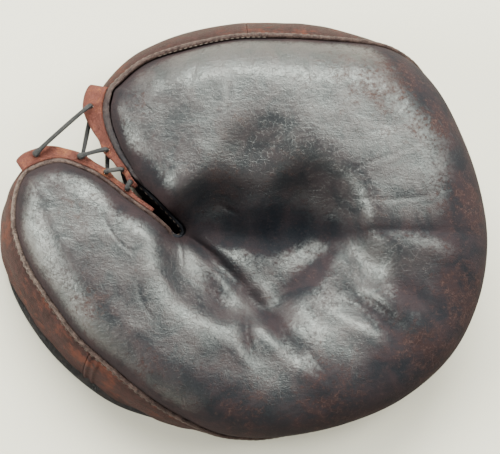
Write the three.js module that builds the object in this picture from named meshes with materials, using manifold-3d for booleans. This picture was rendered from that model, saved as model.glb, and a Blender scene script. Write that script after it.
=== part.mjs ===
// Padded catcher's mitt, lying on its back with the pocket up.
// Millimetres, +Z up. X runs along the mitt's long side, the opening between thumb and fingers faces -X +Y.
// The body is described by sections: each row of SECTIONS is one cut through the rim, from the widest
// line of the side inward to the spine, a curve down the middle of the C-shaped pad.

import * as THREE from 'three';
import { mergeVertices } from 'three/addons/utils/BufferGeometryUtils.js';
import Module from 'manifold-3d';

const wasm = await Module();
wasm.setup();

// Driving sizes
const LEATHER = 2.0;
const GAP = 0.3;
const BACK_THICKNESS = 2.5;
const FLANGE_THICKNESS = 2.0;
const FLANGE_DROOP = THREE.MathUtils.degToRad(8);
const LACE_DIAMETER = 2.2;
const LACE_HOLE_DIAMETER = 3.0;
const HOLLOW_CEILING = 27;
const STRAP_WIDTH = 24;
const STRAP_THICKNESS = 2.5;
const STRAP_LENGTH = 86;
const STUD_HEAD_RADIUS = 6;
const STUD_POST_RADIUS = 2;
const STUD_CAP_RADIUS = 4.5;

const BASE = BACK_THICKNESS + GAP;
const FOOT_ANGLE = -60;
const WELT_HEIGHT = 1.6;
const PAD_UNDERCUT = LEATHER + GAP;

// One row for each section of the rim, clockwise from the inner end of the opening.
// x, y: widest point of the side; wide: its height; seam: angle of the seam on the section, 0 at the widest
// point and 90 on top; shoulder: how far in the round edge reaches; lean: how much further in the top leans;
// tuck: how far in the foot of the side is; lip: how far the back panel stands out past that foot;
// welt: half width of the piping; spine: where the section ends along the spine.
const SECTION_COLUMNS = ['x', 'y', 'wide', 'seam', 'shoulder', 'lean', 'tuck', 'lip', 'welt', 'spine'];
const SECTIONS = [
  [-35.7, -8.0, 36, 28, 14, 0, 2, 0.5, 1.4, 0.56],
  [-35.9, -5.0, 38, 28, 15, 0, 2, 0.5, 1.4, 0.7],
  [-42.2, 0.4, 43, 25, 17, 0, 2, 0.5, 1.5, 0.78],
  [-49.3, 7.3, 48, 22, 20, 0, 2, 0.5, 1.6, 0.82],
  [-60.8, 18.4, 50, 22, 24, 0, 2, 0.5, 1.8, 0.86],
  [-67.2, 28.2, 50, 22, 26, 0, 2, 0.5, 2.2, 0.89],
  [-74.7, 39.0, 50, 25, 28, 0, 3, 0.5, 2.8, 0.93],
  [-82.0, 55.0, 48, 30, 29, 0, 3, 0.5, 3.2, 0.97],
  [-85.0, 69.5, 44, 35, 30, 2, 4, 0.5, 3.2, 1.00],
  [-82.5, 84.5, 36, 38, 31, 6, 6, 1.0, 2.4, 1.00],
  [-64.9, 106.9, 26, 40, 32, 12, 8, 1.0, 1.6, 1.00],
  [-37.2, 121.1, 22, 40, 33, 18, 9, 1.0, 1.6, 0.96],
  [-2.8, 128.9, 20, 38, 34, 20, 10, 1.0, 1.6, 0.88],
  [31.7, 128.9, 22, 38, 35, 20, 10, 1.0, 1.6, 0.8],
  [65.9, 121.8, 26, 32, 36, 17, 11, 1.0, 1.6, 0.755],
  [97.0, 106.5, 34, 16, 36, 8, 13, 1.0, 1.6, 0.72],
  [120.5, 80.0, 40, -15, 36, 2, 15, 1.0, 1.6, 0.69],
  [136.5, 45.2, 42, -35, 36, 0, 17, 1.0, 1.6, 0.66],
  [145.6, 11.5, 44, -40, 36, 0, 18, 1.0, 1.6, 0.635],
  [147.8, -18.8, 44, -40, 36, 0, 18, 1.0, 1.6, 0.61],
  [141.3, -51.5, 42, -40, 36, 0, 18, 1.0, 1.6, 0.58],
  [125.1, -82.0, 38, -40, 35, 0, 18, 1.0, 1.6, 0.55],
  [96.4, -106.7, 36, -38, 34, 0, 17, 1.0, 1.6, 0.525],
  [62.7, -121.2, 34, -30, 34, 0, 16, 1.0, 1.6, 0.495],
  [27.3, -128.5, 32, -20, 34, 0, 14, 1.0, 1.6, 0.45],
  [-2.3, -128.9, 26, 0, 34, 0, 10, 1.2, 1.6, 0.405],
  [-29.5, -124.0, 16, 25, 34, 0, 5, 1.6, 1.6, 0.355],
  [-54.1, -115.4, 10, 38, 34, 1, 3, 3.4, 1.6, 0.31],
  [-78.7, -102.6, 8, 42, 34, 6, 2, 5.6, 1.6, 0.265],
  [-103.6, -82.4, 8, 42, 33, 8, 2, 6.6, 1.6, 0.215],
  [-122.4, -61.6, 8, 42, 32, 11, 2, 6.2, 1.6, 0.16],
  [-138.4, -37.4, 8, 41, 31, 12, 2, 4.6, 1.6, 0.10],
  [-146.7, -16.5, 10, 41, 30, 12, 3, 2.4, 1.6, 0.05],
  [-147.8, 1.6, 14, 41, 27, 11, 4, 1.0, 1.6, 0.00],
  [-143.0, 18.0, 22, 40, 26, 8, 5, 1.0, 1.6, 0.00],
  [-134.5, 29.2, 32, 38, 24, 5, 5, 1.0, 1.8, 0.00],
  [-124.0, 34.5, 40, 35, 23, 3, 4, 0.5, 2.0, 0.00],
  [-106.0, 36.4, 46, 30, 22, 1, 3, 0.5, 2.0, 0.00],
  [-88.0, 29.4, 48, 28, 22, 0, 2, 0.5, 1.8, 0.05],
  [-76.2, 21.6, 48, 25, 22, 0, 2, 0.5, 1.6, 0.09],
  [-64.4, 12.1, 48, 25, 22, 0, 2, 0.5, 1.6, 0.14],
  [-49.8, 1.4, 47, 25, 20, 0, 2, 0.5, 1.6, 0.2],
  [-41.5, -5.6, 43, 25, 16, 0, 2, 0.5, 1.5, 0.26],
  [-38.8, -8.2, 38, 28, 15, 0, 2, 0.5, 1.4, 0.36],
];
const ROW = { fingerTipStart: 8, fingerTipEnd: 10, thumbTipStart: 33, thumbTipEnd: 37 };

// The spine of the C, from the thumb tip round the pocket to the finger tip
const SPINE = [
  [-104.0, 2.0], [-77.5, -19.0], [-42.0, -41.0], [-9.0, -47.5],
  [14.0, -38.0], [21.5, -16.5], [13.5, 7.0], [-4.0, 30.5], [-26.0, 48.5], [-50.0, 58.0],
];

// Heights of the padded face: x, y, z and how far each one reaches
const HEIGHT_COLUMNS = ['x', 'y', 'z', 'reach'];
const HEIGHTS = [
  [7, -27, 40, 22],
  [38, 0, 37, 20],
  [4, -2, 42, 16],
  [-11, 62, 80, 28],
  [30, 62, 81, 28],
  [70, 47, 80, 28],
  [102, 22, 76, 26],
  [117, -9, 69, 24],
  [108, -51, 62, 24],
  [76, -83, 58, 24],
  [36, -100, 56, 24],
  [-8, -100, 58, 26],
  [-45, -81, 66, 28],
  [-77, -46, 70, 28],
  [-101, -8, 70, 26],
  [-108, 13, 66, 24],
  [-63, 53, 73, 26],
  [12, 32, 65, 18],
  [-14, -30, 48, 19],
  [60, -45, 48, 20],
];

// Folds of the face: a curve start-middle-end, how much it rises (or sinks) and its width
const FOLD_COLUMNS = ['x0', 'y0', 'x1', 'y1', 'x2', 'y2', 'rise', 'width'];
const FOLDS = [
  [-31, -11, -21, -18, -2, -37, -6.5, 3.6],
  [-8, -30, 14, -55, 34, -82, -4.5, 4],
  [-18, -25, -16, -40, -8, -59, -3, 5.5],
  [4, -56, 5, -70, 8, -83, -3, 3.5],
  [-6, -71, 1, -81, 8, -90, 2, 5],
  [11, -61, 16, -71, 24, -85, 2.5, 5],
  [31, -85, 42, -95, 55, -104, 3, 5],
  [45, -53, 65, -63, 87, -79, 3.5, 6],
  [63, -46, 78, -57, 92, -73, -3.5, 5],
  [71, -40, 89, -53, 107, -68, 3, 5],
  [85, -39, 101, -48, 117, -63, -2, 5],
  [50, -9, 93, -11, 140, -13, -2.5, 5],
  [60, -18, 94, -20, 134, -21, 1.5, 8],
  [54, -15, 47, -30, 21, -49, -2.5, 4.5],
  [-31, -5, -2, -10.5, 34, -12, -6, 6.5],
  [0, 8.5, 16, 8, 46, 9.5, 5.5, 6],
  [28, -41, 42, -38, 58, -44, -2, 8],
];

const rad = THREE.MathUtils.degToRad;
const named = (columns, table) => table.map(
  (values) => Object.fromEntries(columns.map((name, i) => [name, values[i]])),
);
const sections = named(SECTION_COLUMNS, SECTIONS);
const heights = named(HEIGHT_COLUMNS, HEIGHTS);
const folds = named(FOLD_COLUMNS, FOLDS);
const spineCurve = new THREE.CatmullRomCurve3(SPINE.map(([x, y]) => new THREE.Vector3(x, y, 0)));

// Smooth curve through one column of the closed table of sections, and its slope
function spline(name, u) {
  const count = sections.length;
  const i = Math.floor(u);
  const f = u - i;
  const [a, b, c, d] = [-1, 0, 1, 2].map((k) => sections[(i + k + 2 * count) % count][name]);
  const value = b + 0.5 * f * (c - a + f * (2 * a - 5 * b + 4 * c - d + f * (3 * (b - c) + d - a)));
  const slope = 0.5 * (c - a + f * (2 * (2 * a - 5 * b + 4 * c - d) + 3 * f * (3 * (b - c) + d - a)));
  return { value, slope };
}

// Linear reading of the spine column, so that it never overshoots
function spineAt(u) {
  const count = sections.length;
  const i = Math.floor(u);
  const a = sections[i % count].spine;
  const b = sections[(i + 1) % count].spine;
  return a + (b - a) * (u - i);
}

// The section at row number u: its edge point, inward direction, sizes and the spine point it ends at
function sectionAt(u) {
  const x = spline('x', u);
  const y = spline('y', u);
  const size = Math.hypot(x.slope, y.slope);
  const spine = spineCurve.getPoint(spineAt(u));
  const section = { x: x.value, y: y.value, inX: y.slope / size, inY: -x.slope / size };
  for (const name of ['wide', 'seam', 'shoulder', 'lean', 'tuck', 'lip', 'welt']) {
    section[name] = spline(name, u).value;
  }
  section.length = Math.hypot(spine.x - section.x, spine.y - section.y);
  section.toX = (spine.x - section.x) / section.length;
  section.toY = (spine.y - section.y) / section.length;
  section.u = u;
  return section;
}

// A place in plan, inset from the edge: square to the edge at first, then towards the spine
function inset(section, distance) {
  const share = Math.min(Math.max(distance / section.length, 0), 1) ** 2;
  const x = section.inX * (1 - share) + section.toX * share;
  const y = section.inY * (1 - share) + section.toY * share;
  return [section.x + distance * x, section.y + distance * y];
}

// Rise of one fold at a place: a bell across the curve, dying away at both ends
const FOLD_STEPS = 16;
const FOLD_END_SHARE = 0.4;
function foldRise(fold, x, y) {
  let nearest = Infinity;
  let along = 0;
  for (let i = 0; i <= FOLD_STEPS; i++) {
    const s = i / FOLD_STEPS;
    const [a, b, c] = [(1 - s) * (1 - 2 * s), 4 * s * (1 - s), s * (2 * s - 1)];
    const distance = Math.hypot(
      a * fold.x0 + b * fold.x1 + c * fold.x2 - x,
      a * fold.y0 + b * fold.y1 + c * fold.y2 - y,
    );
    if (distance < nearest) [nearest, along] = [distance, s];
  }
  const fade = FOLD_END_SHARE + (1 - FOLD_END_SHARE) * Math.sin(Math.PI * along);
  return fold.rise * fade * Math.exp(-((nearest / fold.width) ** 2));
}

// Height of the face over a place: blended heights, then the folds
function faceHeight(x, y) {
  let sum = 0;
  let total = 0;
  for (const point of heights) {
    const weight = Math.exp(-((x - point.x) ** 2 + (y - point.y) ** 2) / point.reach ** 2) + 1e-9;
    sum += weight * point.z;
    total += weight;
  }
  return folds.reduce((z, fold) => z + foldRise(fold, x, y), sum / total);
}

// A point of the outer skin of a section: angle 90 is the top of the shoulder, 0 the widest point and
// FOOT_ANGLE the foot; depth goes inward, square to the skin
function skin(section, angle, depth = 0) {
  const a = rad(angle);
  let run;
  let z;
  let slopeRun;
  let slopeZ;
  if (angle >= 0) {
    run = section.shoulder * (1 - Math.cos(a)) + section.lean * Math.sin(a);
    const [x, y] = inset(section, run);
    const top = faceHeight(x, y) - section.wide;
    z = section.wide + top * Math.sin(a);
    slopeRun = section.shoulder * Math.sin(a) + section.lean * Math.cos(a);
    slopeZ = top * Math.cos(a);
  } else {
    const foot = rad(FOOT_ANGLE);
    const reach = section.tuck / (1 - Math.cos(foot));
    const drop = (section.wide - BASE) / Math.sin(-foot);
    run = reach * (1 - Math.cos(a));
    z = section.wide + drop * Math.sin(a);
    slopeRun = reach * Math.sin(a);
    slopeZ = drop * Math.cos(a);
  }
  const size = Math.hypot(slopeRun, slopeZ);
  const [x, y] = inset(section, run + (depth * slopeZ) / size);
  return new THREE.Vector3(x, y, z - (depth * slopeRun) / size);
}

// Angle that lies a given distance up (or down) the skin from the seam
function besideSeam(section, distance) {
  const seam = skin(section, section.seam);
  const step = skin(section, section.seam + 1).distanceTo(seam);
  return section.seam + distance / step;
}

// The seam's own axes: along the skin upwards and square out of it
function seamFrame(section) {
  const at = skin(section, section.seam);
  const up = skin(section, section.seam + 1).sub(at).normalize();
  const out = skin(section, section.seam, -1).sub(at).normalize();
  return { at, up, out };
}

// A corner of the groove that the piping lies in, above (side 1) or below (side -1) it
function grooveCorner(section, side, depth) {
  const { at, up, out } = seamFrame(section);
  return at.addScaledVector(up, side * (section.welt + GAP)).addScaledVector(out, -depth);
}

// Row numbers of all sections: the outside of the C and the inside share their spine places
const OUTER_STEPS = { finger: 11, rest: 36 };
const TIP_STEPS = { finger: 4, thumb: 7 };
const FINGER_SIDE_END = 14;
const turn = (u) => u % sections.length;
function insideRow(spine) {
  let u = ROW.thumbTipEnd;
  const last = sections.length + ROW.fingerTipStart;
  while (u < last - 1 && spineAt(u + 1) <= spine) u += 1;
  const [a, b] = [spineAt(u), spineAt(u + 1)];
  return u + Math.min((spine - a) / (b - a), 1);
}
function spread(from, to, steps) {
  return Array.from({ length: steps + 1 }, (_, i) => from + ((to - from) * i) / steps);
}
const outside = [
  ...spread(ROW.fingerTipEnd, FINGER_SIDE_END, OUTER_STEPS.finger),
  ...spread(FINGER_SIDE_END, ROW.thumbTipStart, OUTER_STEPS.rest).slice(1),
];
const inside = outside.map((u) => insideRow(spineAt(u))).reverse();
const rows = [
  ...spread(ROW.fingerTipStart, ROW.fingerTipEnd, TIP_STEPS.finger).slice(1, -1),
  ...outside,
  ...spread(ROW.thumbTipStart, ROW.thumbTipEnd, TIP_STEPS.thumb).slice(1, -1),
  ...inside,
];
const all = rows.map(sectionAt);

// A closed body from lists of points side by side. A looped one joins its last list to its first; a capped
// one has each list as a closed outline, its second half split along the other diagonal to match its first.
function gridGeometry(lists, looped, capped) {
  const position = [];
  const index = [];
  const tall = lists[0].length;
  lists.flat().forEach((p) => position.push(p.x, p.y, p.z));
  const last = looped ? lists.length : lists.length - 1;
  const round = capped ? tall : tall - 1;
  for (let i = 0; i < last; i++) {
    for (let j = 0; j < round; j++) {
      const a = i * tall + j;
      const b = ((i + 1) % lists.length) * tall + j;
      const c = ((i + 1) % lists.length) * tall + ((j + 1) % tall);
      const d = i * tall + ((j + 1) % tall);
      if (capped && j >= tall / 2) index.push(a, b, d, b, c, d);
      else index.push(a, b, c, a, c, d);
    }
  }
  if (capped && !looped) {
    const end = (lists.length - 1) * tall;
    for (let j = 0; j < tall / 2 - 1; j++) {
      const [p, q, r, s] = [j, j + 1, tall - 2 - j, tall - 1 - j];
      index.push(s, p, q);
      if (q !== r) index.push(s, q, r);
      index.push(end + s, end + q, end + p);
      if (q !== r) index.push(end + s, end + r, end + q);
    }
  }
  const geometry = new THREE.BufferGeometry();
  geometry.setAttribute('position', new THREE.Float32BufferAttribute(position, 3));
  geometry.setIndex(index);
  return tidy(geometry);
}

// Shared corners merged and triangles with no area dropped
function tidy(geometry) {
  geometry.deleteAttribute('normal');
  geometry.deleteAttribute('uv');
  const merged = mergeVertices(geometry, 1e-4);
  const from = merged.index.array;
  const kept = [];
  for (let i = 0; i < from.length; i += 3) {
    const [a, b, c] = [from[i], from[i + 1], from[i + 2]];
    if (a !== b && b !== c && c !== a) kept.push(a, b, c);
  }
  merged.setIndex(kept);
  return merged;
}

function toSolid(geometry) {
  const merged = tidy(geometry);
  return new wasm.Manifold(new wasm.Mesh({
    numProp: 3,
    vertProperties: new Float32Array(merged.attributes.position.array),
    triVerts: new Uint32Array(merged.index.array),
  }));
}

function fromSolid(solid) {
  const mesh = solid.getMesh();
  const geometry = new THREE.BufferGeometry();
  geometry.setAttribute('position', new THREE.Float32BufferAttribute(mesh.vertProperties, 3));
  geometry.setIndex(Array.from(mesh.triVerts));
  return geometry;
}

const mitt = new THREE.Group();
function add(name, geometry, colour, roughness, metalness = 0) {
  geometry.computeVertexNormals();
  const material = new THREE.MeshStandardMaterial({ color: colour, roughness, metalness });
  const mesh = new THREE.Mesh(geometry, material);
  mesh.name = name;
  mitt.add(mesh);
  return mesh;
}

const FACE_COLOUR = 0x2a2223;
const SIDE_COLOUR = 0x4a2a20;
const WELT_COLOUR = 0x5a4438;
const FLANGE_COLOUR = 0x9a5a38;
const LACE_COLOUR = 0x3a3430;
const BACK_COLOUR = 0x2e211d;
const STUD_COLOUR = 0x8a7446;

// Angles down the side leather, from just below the piping to the foot
const WALL_STEPS = 5;
function wallAngles(section) {
  return spread(besideSeam(section, -(section.welt + GAP)), FOOT_ANGLE, WALL_STEPS);
}

// Palm pad
const FACE_ROWS = 8;
const SHOULDER_ROWS = 6;
const PAD_FOOT_ROUND = 4;
function padList(section) {
  const list = [];
  for (let k = 0; k < FACE_ROWS; k++) {
    const run = section.length + (section.shoulder + section.lean - section.length) * (k / FACE_ROWS);
    const [x, y] = inset(section, run);
    list.push(new THREE.Vector3(x, y, faceHeight(x, y)));
  }
  const edge = besideSeam(section, section.welt + GAP);
  for (const angle of spread(90, edge, SHOULDER_ROWS)) list.push(skin(section, angle));
  for (const side of [1, -1]) list.push(grooveCorner(section, side, PAD_UNDERCUT));
  for (const angle of wallAngles(section).slice(1)) list.push(skin(section, angle, PAD_UNDERCUT));
  const [x, y] = inset(section, section.tuck + PAD_UNDERCUT + PAD_FOOT_ROUND);
  list.push(new THREE.Vector3(x, y, BASE));
  const [endX, endY] = inset(section, section.length);
  list.push(new THREE.Vector3(endX, endY, BASE));
  return list;
}

// Hand hollow: a flat slot under the pad, a finger stall, a thumb stall and the wrist mouth in one outline
const HOLLOW = [
  [138, -97], [121, -72], [104, -48], [86, -24], [76, 4], [66, 40], [52, 66], [20, 72],
  [-20, 66], [-36, 50], [-24, 24], [-8, 0], [-8, -36], [-34, -44], [-72, -20], [-98, 6],
  [-112, -4], [-102, -30], [-66, -66], [-22, -86], [26, -100], [43, -125], [60, -149],
];
const HOLLOW_STEPS = 72;
function roundShape(points, steps) {
  const corners = points.map(([x, y]) => new THREE.Vector3(x, y, 0));
  const curve = new THREE.CatmullRomCurve3(corners, false, 'centripetal');
  return new THREE.Shape(curve.getPoints(steps).map((p) => new THREE.Vector2(p.x, p.y)));
}
function slab(shape, low, high) {
  const geometry = new THREE.ExtrudeGeometry(shape, { depth: high - low, bevelEnabled: false });
  return geometry.translate(0, 0, low);
}
const hollow = toSolid(slab(roundShape(HOLLOW, HOLLOW_STEPS), BACK_THICKNESS, HOLLOW_CEILING));
const pad = toSolid(gridGeometry(all.map(padList), true, false));
add('palm_pad', fromSolid(pad.subtract(hollow)), FACE_COLOUR, 0.45);

// Side leather in three strips, with the wrist left open
const WALL_END_ROWS = 0.006;
const JOINT = { top: 12.2, wristFinger: 20.9, wristHeel: 23.7, thumb: 28.65 };
const WALLS = [
  { name: 'side_wall_finger', from: JOINT.top, to: JOINT.wristFinger },
  { name: 'side_wall_heel', from: JOINT.wristHeel, to: JOINT.thumb },
  { name: 'side_wall_notch', from: JOINT.thumb, to: JOINT.top + sections.length },
];
// Sections between two rows, in order; both ends move to the nearest section, less a hair for the joint
function between(from, to) {
  const laps = [...rows.map(turn), ...rows.map((u) => turn(u) + sections.length)].sort((a, b) => a - b);
  const nearest = (end) => laps.reduce((best, u) => (Math.abs(u - end) < Math.abs(best - end) ? u : best));
  const [first, last] = [nearest(from), nearest(to)];
  const inner = laps.filter((u, i) => u > first + 1e-6 && u < last - 1e-6 && u - laps[i - 1] > 1e-6);
  return [first + WALL_END_ROWS, ...inner, last - WALL_END_ROWS].map((u) => sectionAt(turn(u)));
}
function wallList(section) {
  const angles = wallAngles(section);
  return [
    ...angles.map((angle) => skin(section, angle)),
    ...angles.slice(1).reverse().map((angle) => skin(section, angle, LEATHER)),
    grooveCorner(section, -1, LEATHER),
  ];
}
for (const wall of WALLS) {
  add(wall.name, gridGeometry(between(wall.from, wall.to).map(wallList), false, true), SIDE_COLOUR, 0.5);
}

// Piping on the seam: a flat oval bead, open at the wrist
const WELT_SIDES = 6;
const WELT_SINK = 0.2;
function weltList(section) {
  const { at, up, out } = seamFrame(section);
  return Array.from({ length: WELT_SIDES }, (_, i) => {
    const a = Math.PI / 2 - (2 * Math.PI * (i + 0.5)) / WELT_SIDES;
    return at.clone().addScaledVector(up, section.welt * Math.sin(a))
      .addScaledVector(out, WELT_HEIGHT * Math.cos(a) - WELT_SINK);
  });
}
const weltEnd = JOINT.wristFinger + sections.length;
add('welt', gridGeometry(between(JOINT.wristHeel, weltEnd).map(weltList), false, true), WELT_COLOUR, 0.5);

// Lacing flanges: a flap standing out from the seam; width is its reach past the piping at that row
const FLANGES = {
  finger_lacing_flange: [
    { row: 8.65, width: 11 }, { row: 8.3, width: 12 }, { row: 7.7, width: 11.5 }, { row: 7.1, width: 8.5 },
    { row: 6.5, width: 5.5 }, { row: 6.1, width: 6.2 }, { row: 5.6, width: 3.6 }, { row: 5.0, width: 3.8 },
    { row: 4.7, width: 2.2 }, { row: 4.2, width: 3.2 }, { row: 3.9, width: 1.8 },
  ],
  thumb_lacing_flange: [
    { row: 35.3, width: 8 }, { row: 35.8, width: 9 }, { row: 36.6, width: 8 }, { row: 37.1, width: 5.5 },
    { row: 37.6, width: 5.6 }, { row: 38.1, width: 3.6 }, { row: 38.7, width: 3.9 },
    { row: 39.2, width: 2.2 }, { row: 39.8, width: 3.3 }, { row: 40.2, width: 1.8 },
    { row: 40.9, width: 1.8 },
  ],
};
const FLANGE_STEP = 0.2;
const FLANGE_CLEARANCE = 0.45;
function flangePoint(row, distance, lift) {
  const section = sectionAt(row);
  const { at, up, out } = seamFrame(section);
  const flat = new THREE.Vector3(-section.inX, -section.inY, 0);
  const across = Math.hypot(section.welt * up.dot(flat), WELT_HEIGHT * out.dot(flat));
  const sag = (section.welt ** 2 * up.dot(flat) * up.z + WELT_HEIGHT ** 2 * out.dot(flat) * out.z) / across;
  const reach = across + FLANGE_CLEARANCE + distance;
  const droop = distance * Math.tan(FLANGE_DROOP);
  return at.addScaledVector(flat, reach).add(new THREE.Vector3(0, 0, sag - droop + lift));
}
function readTable(table, row, name) {
  const sorted = [...table].sort((a, b) => a.row - b.row);
  const next = Math.max(1, sorted.findIndex((entry) => entry.row >= row - 1e-9));
  const [a, b] = [sorted[next - 1], sorted[next]];
  return a[name] + ((b[name] - a[name]) * (row - a.row)) / (b.row - a.row);
}
function flangeSolid(table) {
  const ends = table.map((entry) => entry.row);
  const [from, to] = [Math.min(...ends), Math.max(...ends)];
  const half = FLANGE_THICKNESS / 2;
  const lists = spread(from, to, Math.round((to - from) / FLANGE_STEP)).map((row) => {
    const width = readTable(table, row, 'width');
    return [
      flangePoint(row, 0, half), flangePoint(row, width, half),
      flangePoint(row, width, -half), flangePoint(row, 0, -half),
    ];
  });
  return toSolid(gridGeometry(lists, false, true));
}

// Holes, in the order that the lace takes them: up through the thumb flange, down through the finger flange
const HOLES = [
  { flange: 'thumb_lacing_flange', row: 36.25, distance: 4.6 },
  { flange: 'finger_lacing_flange', row: 7.75, distance: 6.5 },
  { flange: 'thumb_lacing_flange', row: 37.6, distance: 3.2 },
  { flange: 'finger_lacing_flange', row: 6.1, distance: 3.6 },
  { flange: 'thumb_lacing_flange', row: 38.7, distance: 2.1 },
  { flange: 'finger_lacing_flange', row: 5.0, distance: 2.1 },
  { flange: 'thumb_lacing_flange', row: 39.8, distance: 1.7 },
  { flange: 'finger_lacing_flange', row: 4.2, distance: 1.7 },
];
const LACE_HOLE_SIDES = 12;
function holeCutter(hole) {
  const radius = LACE_HOLE_DIAMETER / 2;
  const drill = new THREE.CylinderGeometry(radius, radius, 4 * FLANGE_THICKNESS, LACE_HOLE_SIDES);
  const at = flangePoint(hole.row, hole.distance, 0);
  return toSolid(drill.rotateX(Math.PI / 2).translate(at.x, at.y, at.z));
}
for (const [name, table] of Object.entries(FLANGES)) {
  const holes = HOLES.filter((hole) => hole.flange === name).map(holeCutter);
  const solid = holes.reduce((body, cutter) => body.subtract(cutter), flangeSolid(table));
  add(name, fromSolid(solid), FLANGE_COLOUR, 0.6);
}

// Lace: one strand through every hole in turn, over the gap and back under it
const LACE_TURN = 3.2;
const LACE_TAIL = 9;
const LACE_STEPS = 84;
function lacePath() {
  const points = [];
  HOLES.forEach((hole, i) => {
    const rising = i % 2 === 0;
    const lifts = rising ? [-LACE_TURN, 0, LACE_TURN] : [LACE_TURN, 0, -LACE_TURN];
    if (i === 0) points.push(flangePoint(hole.row, hole.distance, -LACE_TAIL));
    for (const lift of lifts) points.push(flangePoint(hole.row, hole.distance, lift));
    if (i === HOLES.length - 1) points.push(flangePoint(hole.row, hole.distance, -LACE_TAIL));
  });
  return new THREE.CatmullRomCurve3(points, false, 'centripetal');
}
function disc(radius, sides) {
  return new THREE.Shape(Array.from({ length: sides }, (_, i) => {
    const a = (2 * Math.PI * i) / sides;
    return new THREE.Vector2(radius * Math.cos(a), radius * Math.sin(a));
  }));
}
const LACE_SIDES = 6;
const lace = new THREE.ExtrudeGeometry(disc(LACE_DIAMETER / 2, LACE_SIDES), {
  steps: LACE_STEPS,
  extrudePath: lacePath(),
});
add('lace', tidy(lace), LACE_COLOUR, 0.7);

// Back panel: the flat outline of the foot, bridged across the inner end of the opening, with a cut-out
const BRIDGE = { from: 4.2, to: 40.2 };
const CUT_OUT = { x: 47, y: -49, halfWidth: 30, length: 110 };
const HEEL_DIRECTION = Math.atan2(-0.82, 0.57);
const BACK_STEP = 0.5;
function footPoint(u) {
  const section = sectionAt(turn(u));
  const [x, y] = inset(section, section.tuck - section.lip);
  return new THREE.Vector2(x, y);
}
function turned(points, along) {
  const [c, s] = [Math.cos(HEEL_DIRECTION), Math.sin(HEEL_DIRECTION)];
  return points.map(([a, b]) => new THREE.Vector2(along.x + a * c - b * s, along.y + a * s + b * c));
}
const footRows = spread(BRIDGE.from, BRIDGE.to, Math.round((BRIDGE.to - BRIDGE.from) / BACK_STEP));
const backOutline = new THREE.Shape(footRows.map(footPoint));
const CUT_OUT_STEPS = 14;
const cutArc = spread(Math.PI / 2, Math.PI * 1.5, CUT_OUT_STEPS)
  .map((a) => [CUT_OUT.halfWidth * Math.cos(a), CUT_OUT.halfWidth * Math.sin(a)]);
const cutOut = new THREE.Shape(turned([
  ...cutArc, [CUT_OUT.length, -CUT_OUT.halfWidth], [CUT_OUT.length, CUT_OUT.halfWidth],
], CUT_OUT));
const STRAP_AT = { x: 65, y: -74 };
const STUD_ACROSS = 36;
const [stud] = turned([[0, STUD_ACROSS]], STRAP_AT);
const STUD_SIDES = 20;
function pin(radius, low, high) {
  const cylinder = new THREE.CylinderGeometry(radius, radius, high - low, STUD_SIDES);
  return toSolid(cylinder.rotateX(Math.PI / 2).translate(stud.x, stud.y, (low + high) / 2));
}
const STUD_SUNK = 1.9;
const backPanel = toSolid(slab(backOutline, 0, BACK_THICKNESS))
  .subtract(toSolid(slab(cutOut, -1, BACK_THICKNESS + 1)))
  .subtract(pin(STUD_HEAD_RADIUS + GAP, -1, STUD_SUNK))
  .subtract(pin(STUD_POST_RADIUS + GAP, -1, BACK_THICKNESS + 1));
add('back_panel', fromSolid(backPanel), BACK_COLOUR, 0.6);

// Wrist strap, lying inside the back panel across the cut-out, and the stud through both
const strapShape = new THREE.Shape(turned([
  [-STRAP_WIDTH / 2, -STRAP_LENGTH / 2], [STRAP_WIDTH / 2, -STRAP_LENGTH / 2],
  [STRAP_WIDTH / 2, STRAP_LENGTH / 2], [-STRAP_WIDTH / 2, STRAP_LENGTH / 2],
], STRAP_AT));
const strapTop = BASE + STRAP_THICKNESS;
const strap = toSolid(slab(strapShape, BASE, strapTop))
  .subtract(pin(STUD_POST_RADIUS + GAP, 0, strapTop + 1));
add('wrist_strap', fromSolid(strap), BACK_COLOUR, 0.6);

const STUD_CAP = 1.4;
const studProfile = [
  [0, GAP], [STUD_HEAD_RADIUS, GAP], [STUD_HEAD_RADIUS, STUD_SUNK - GAP],
  [STUD_POST_RADIUS, STUD_SUNK - GAP], [STUD_POST_RADIUS, strapTop + GAP],
  [STUD_CAP_RADIUS, strapTop + GAP], [0, strapTop + GAP + STUD_CAP],
].map(([r, z]) => new THREE.Vector2(r, z));
const studGeometry = new THREE.LatheGeometry(studProfile, STUD_SIDES).rotateX(Math.PI / 2);
studGeometry.translate(stud.x, stud.y, 0);
add('strap_stud', tidy(studGeometry), STUD_COLOUR, 0.4, 0.8);

export default mitt;
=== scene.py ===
"""Looks of a padded catching mitt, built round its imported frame: leather, piping, lace, stitches and stage.

Shapes are worked out in millimetres, as in the part's source, and turned to metres when a mesh is made.
"""

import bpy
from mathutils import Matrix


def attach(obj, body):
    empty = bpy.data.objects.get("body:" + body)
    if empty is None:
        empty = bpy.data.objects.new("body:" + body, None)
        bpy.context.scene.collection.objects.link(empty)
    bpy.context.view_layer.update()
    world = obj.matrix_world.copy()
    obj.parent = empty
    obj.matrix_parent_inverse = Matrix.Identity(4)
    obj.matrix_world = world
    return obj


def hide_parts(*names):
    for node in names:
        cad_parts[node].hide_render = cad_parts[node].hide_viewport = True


bl_info = {
    "name": "Padded catching mitt",
    "version": (1, 0, 0),
    "blender": (4, 5, 0),
    "location": "View3D > Sidebar > Mitt",
    "description": "Dresses the frame of a padded catching mitt in worn leather, lace and stitching",
    "category": "Add Mesh",
}

import contextlib
import math

import bmesh
import bpy
import numpy as np
from mathutils import Vector

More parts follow.
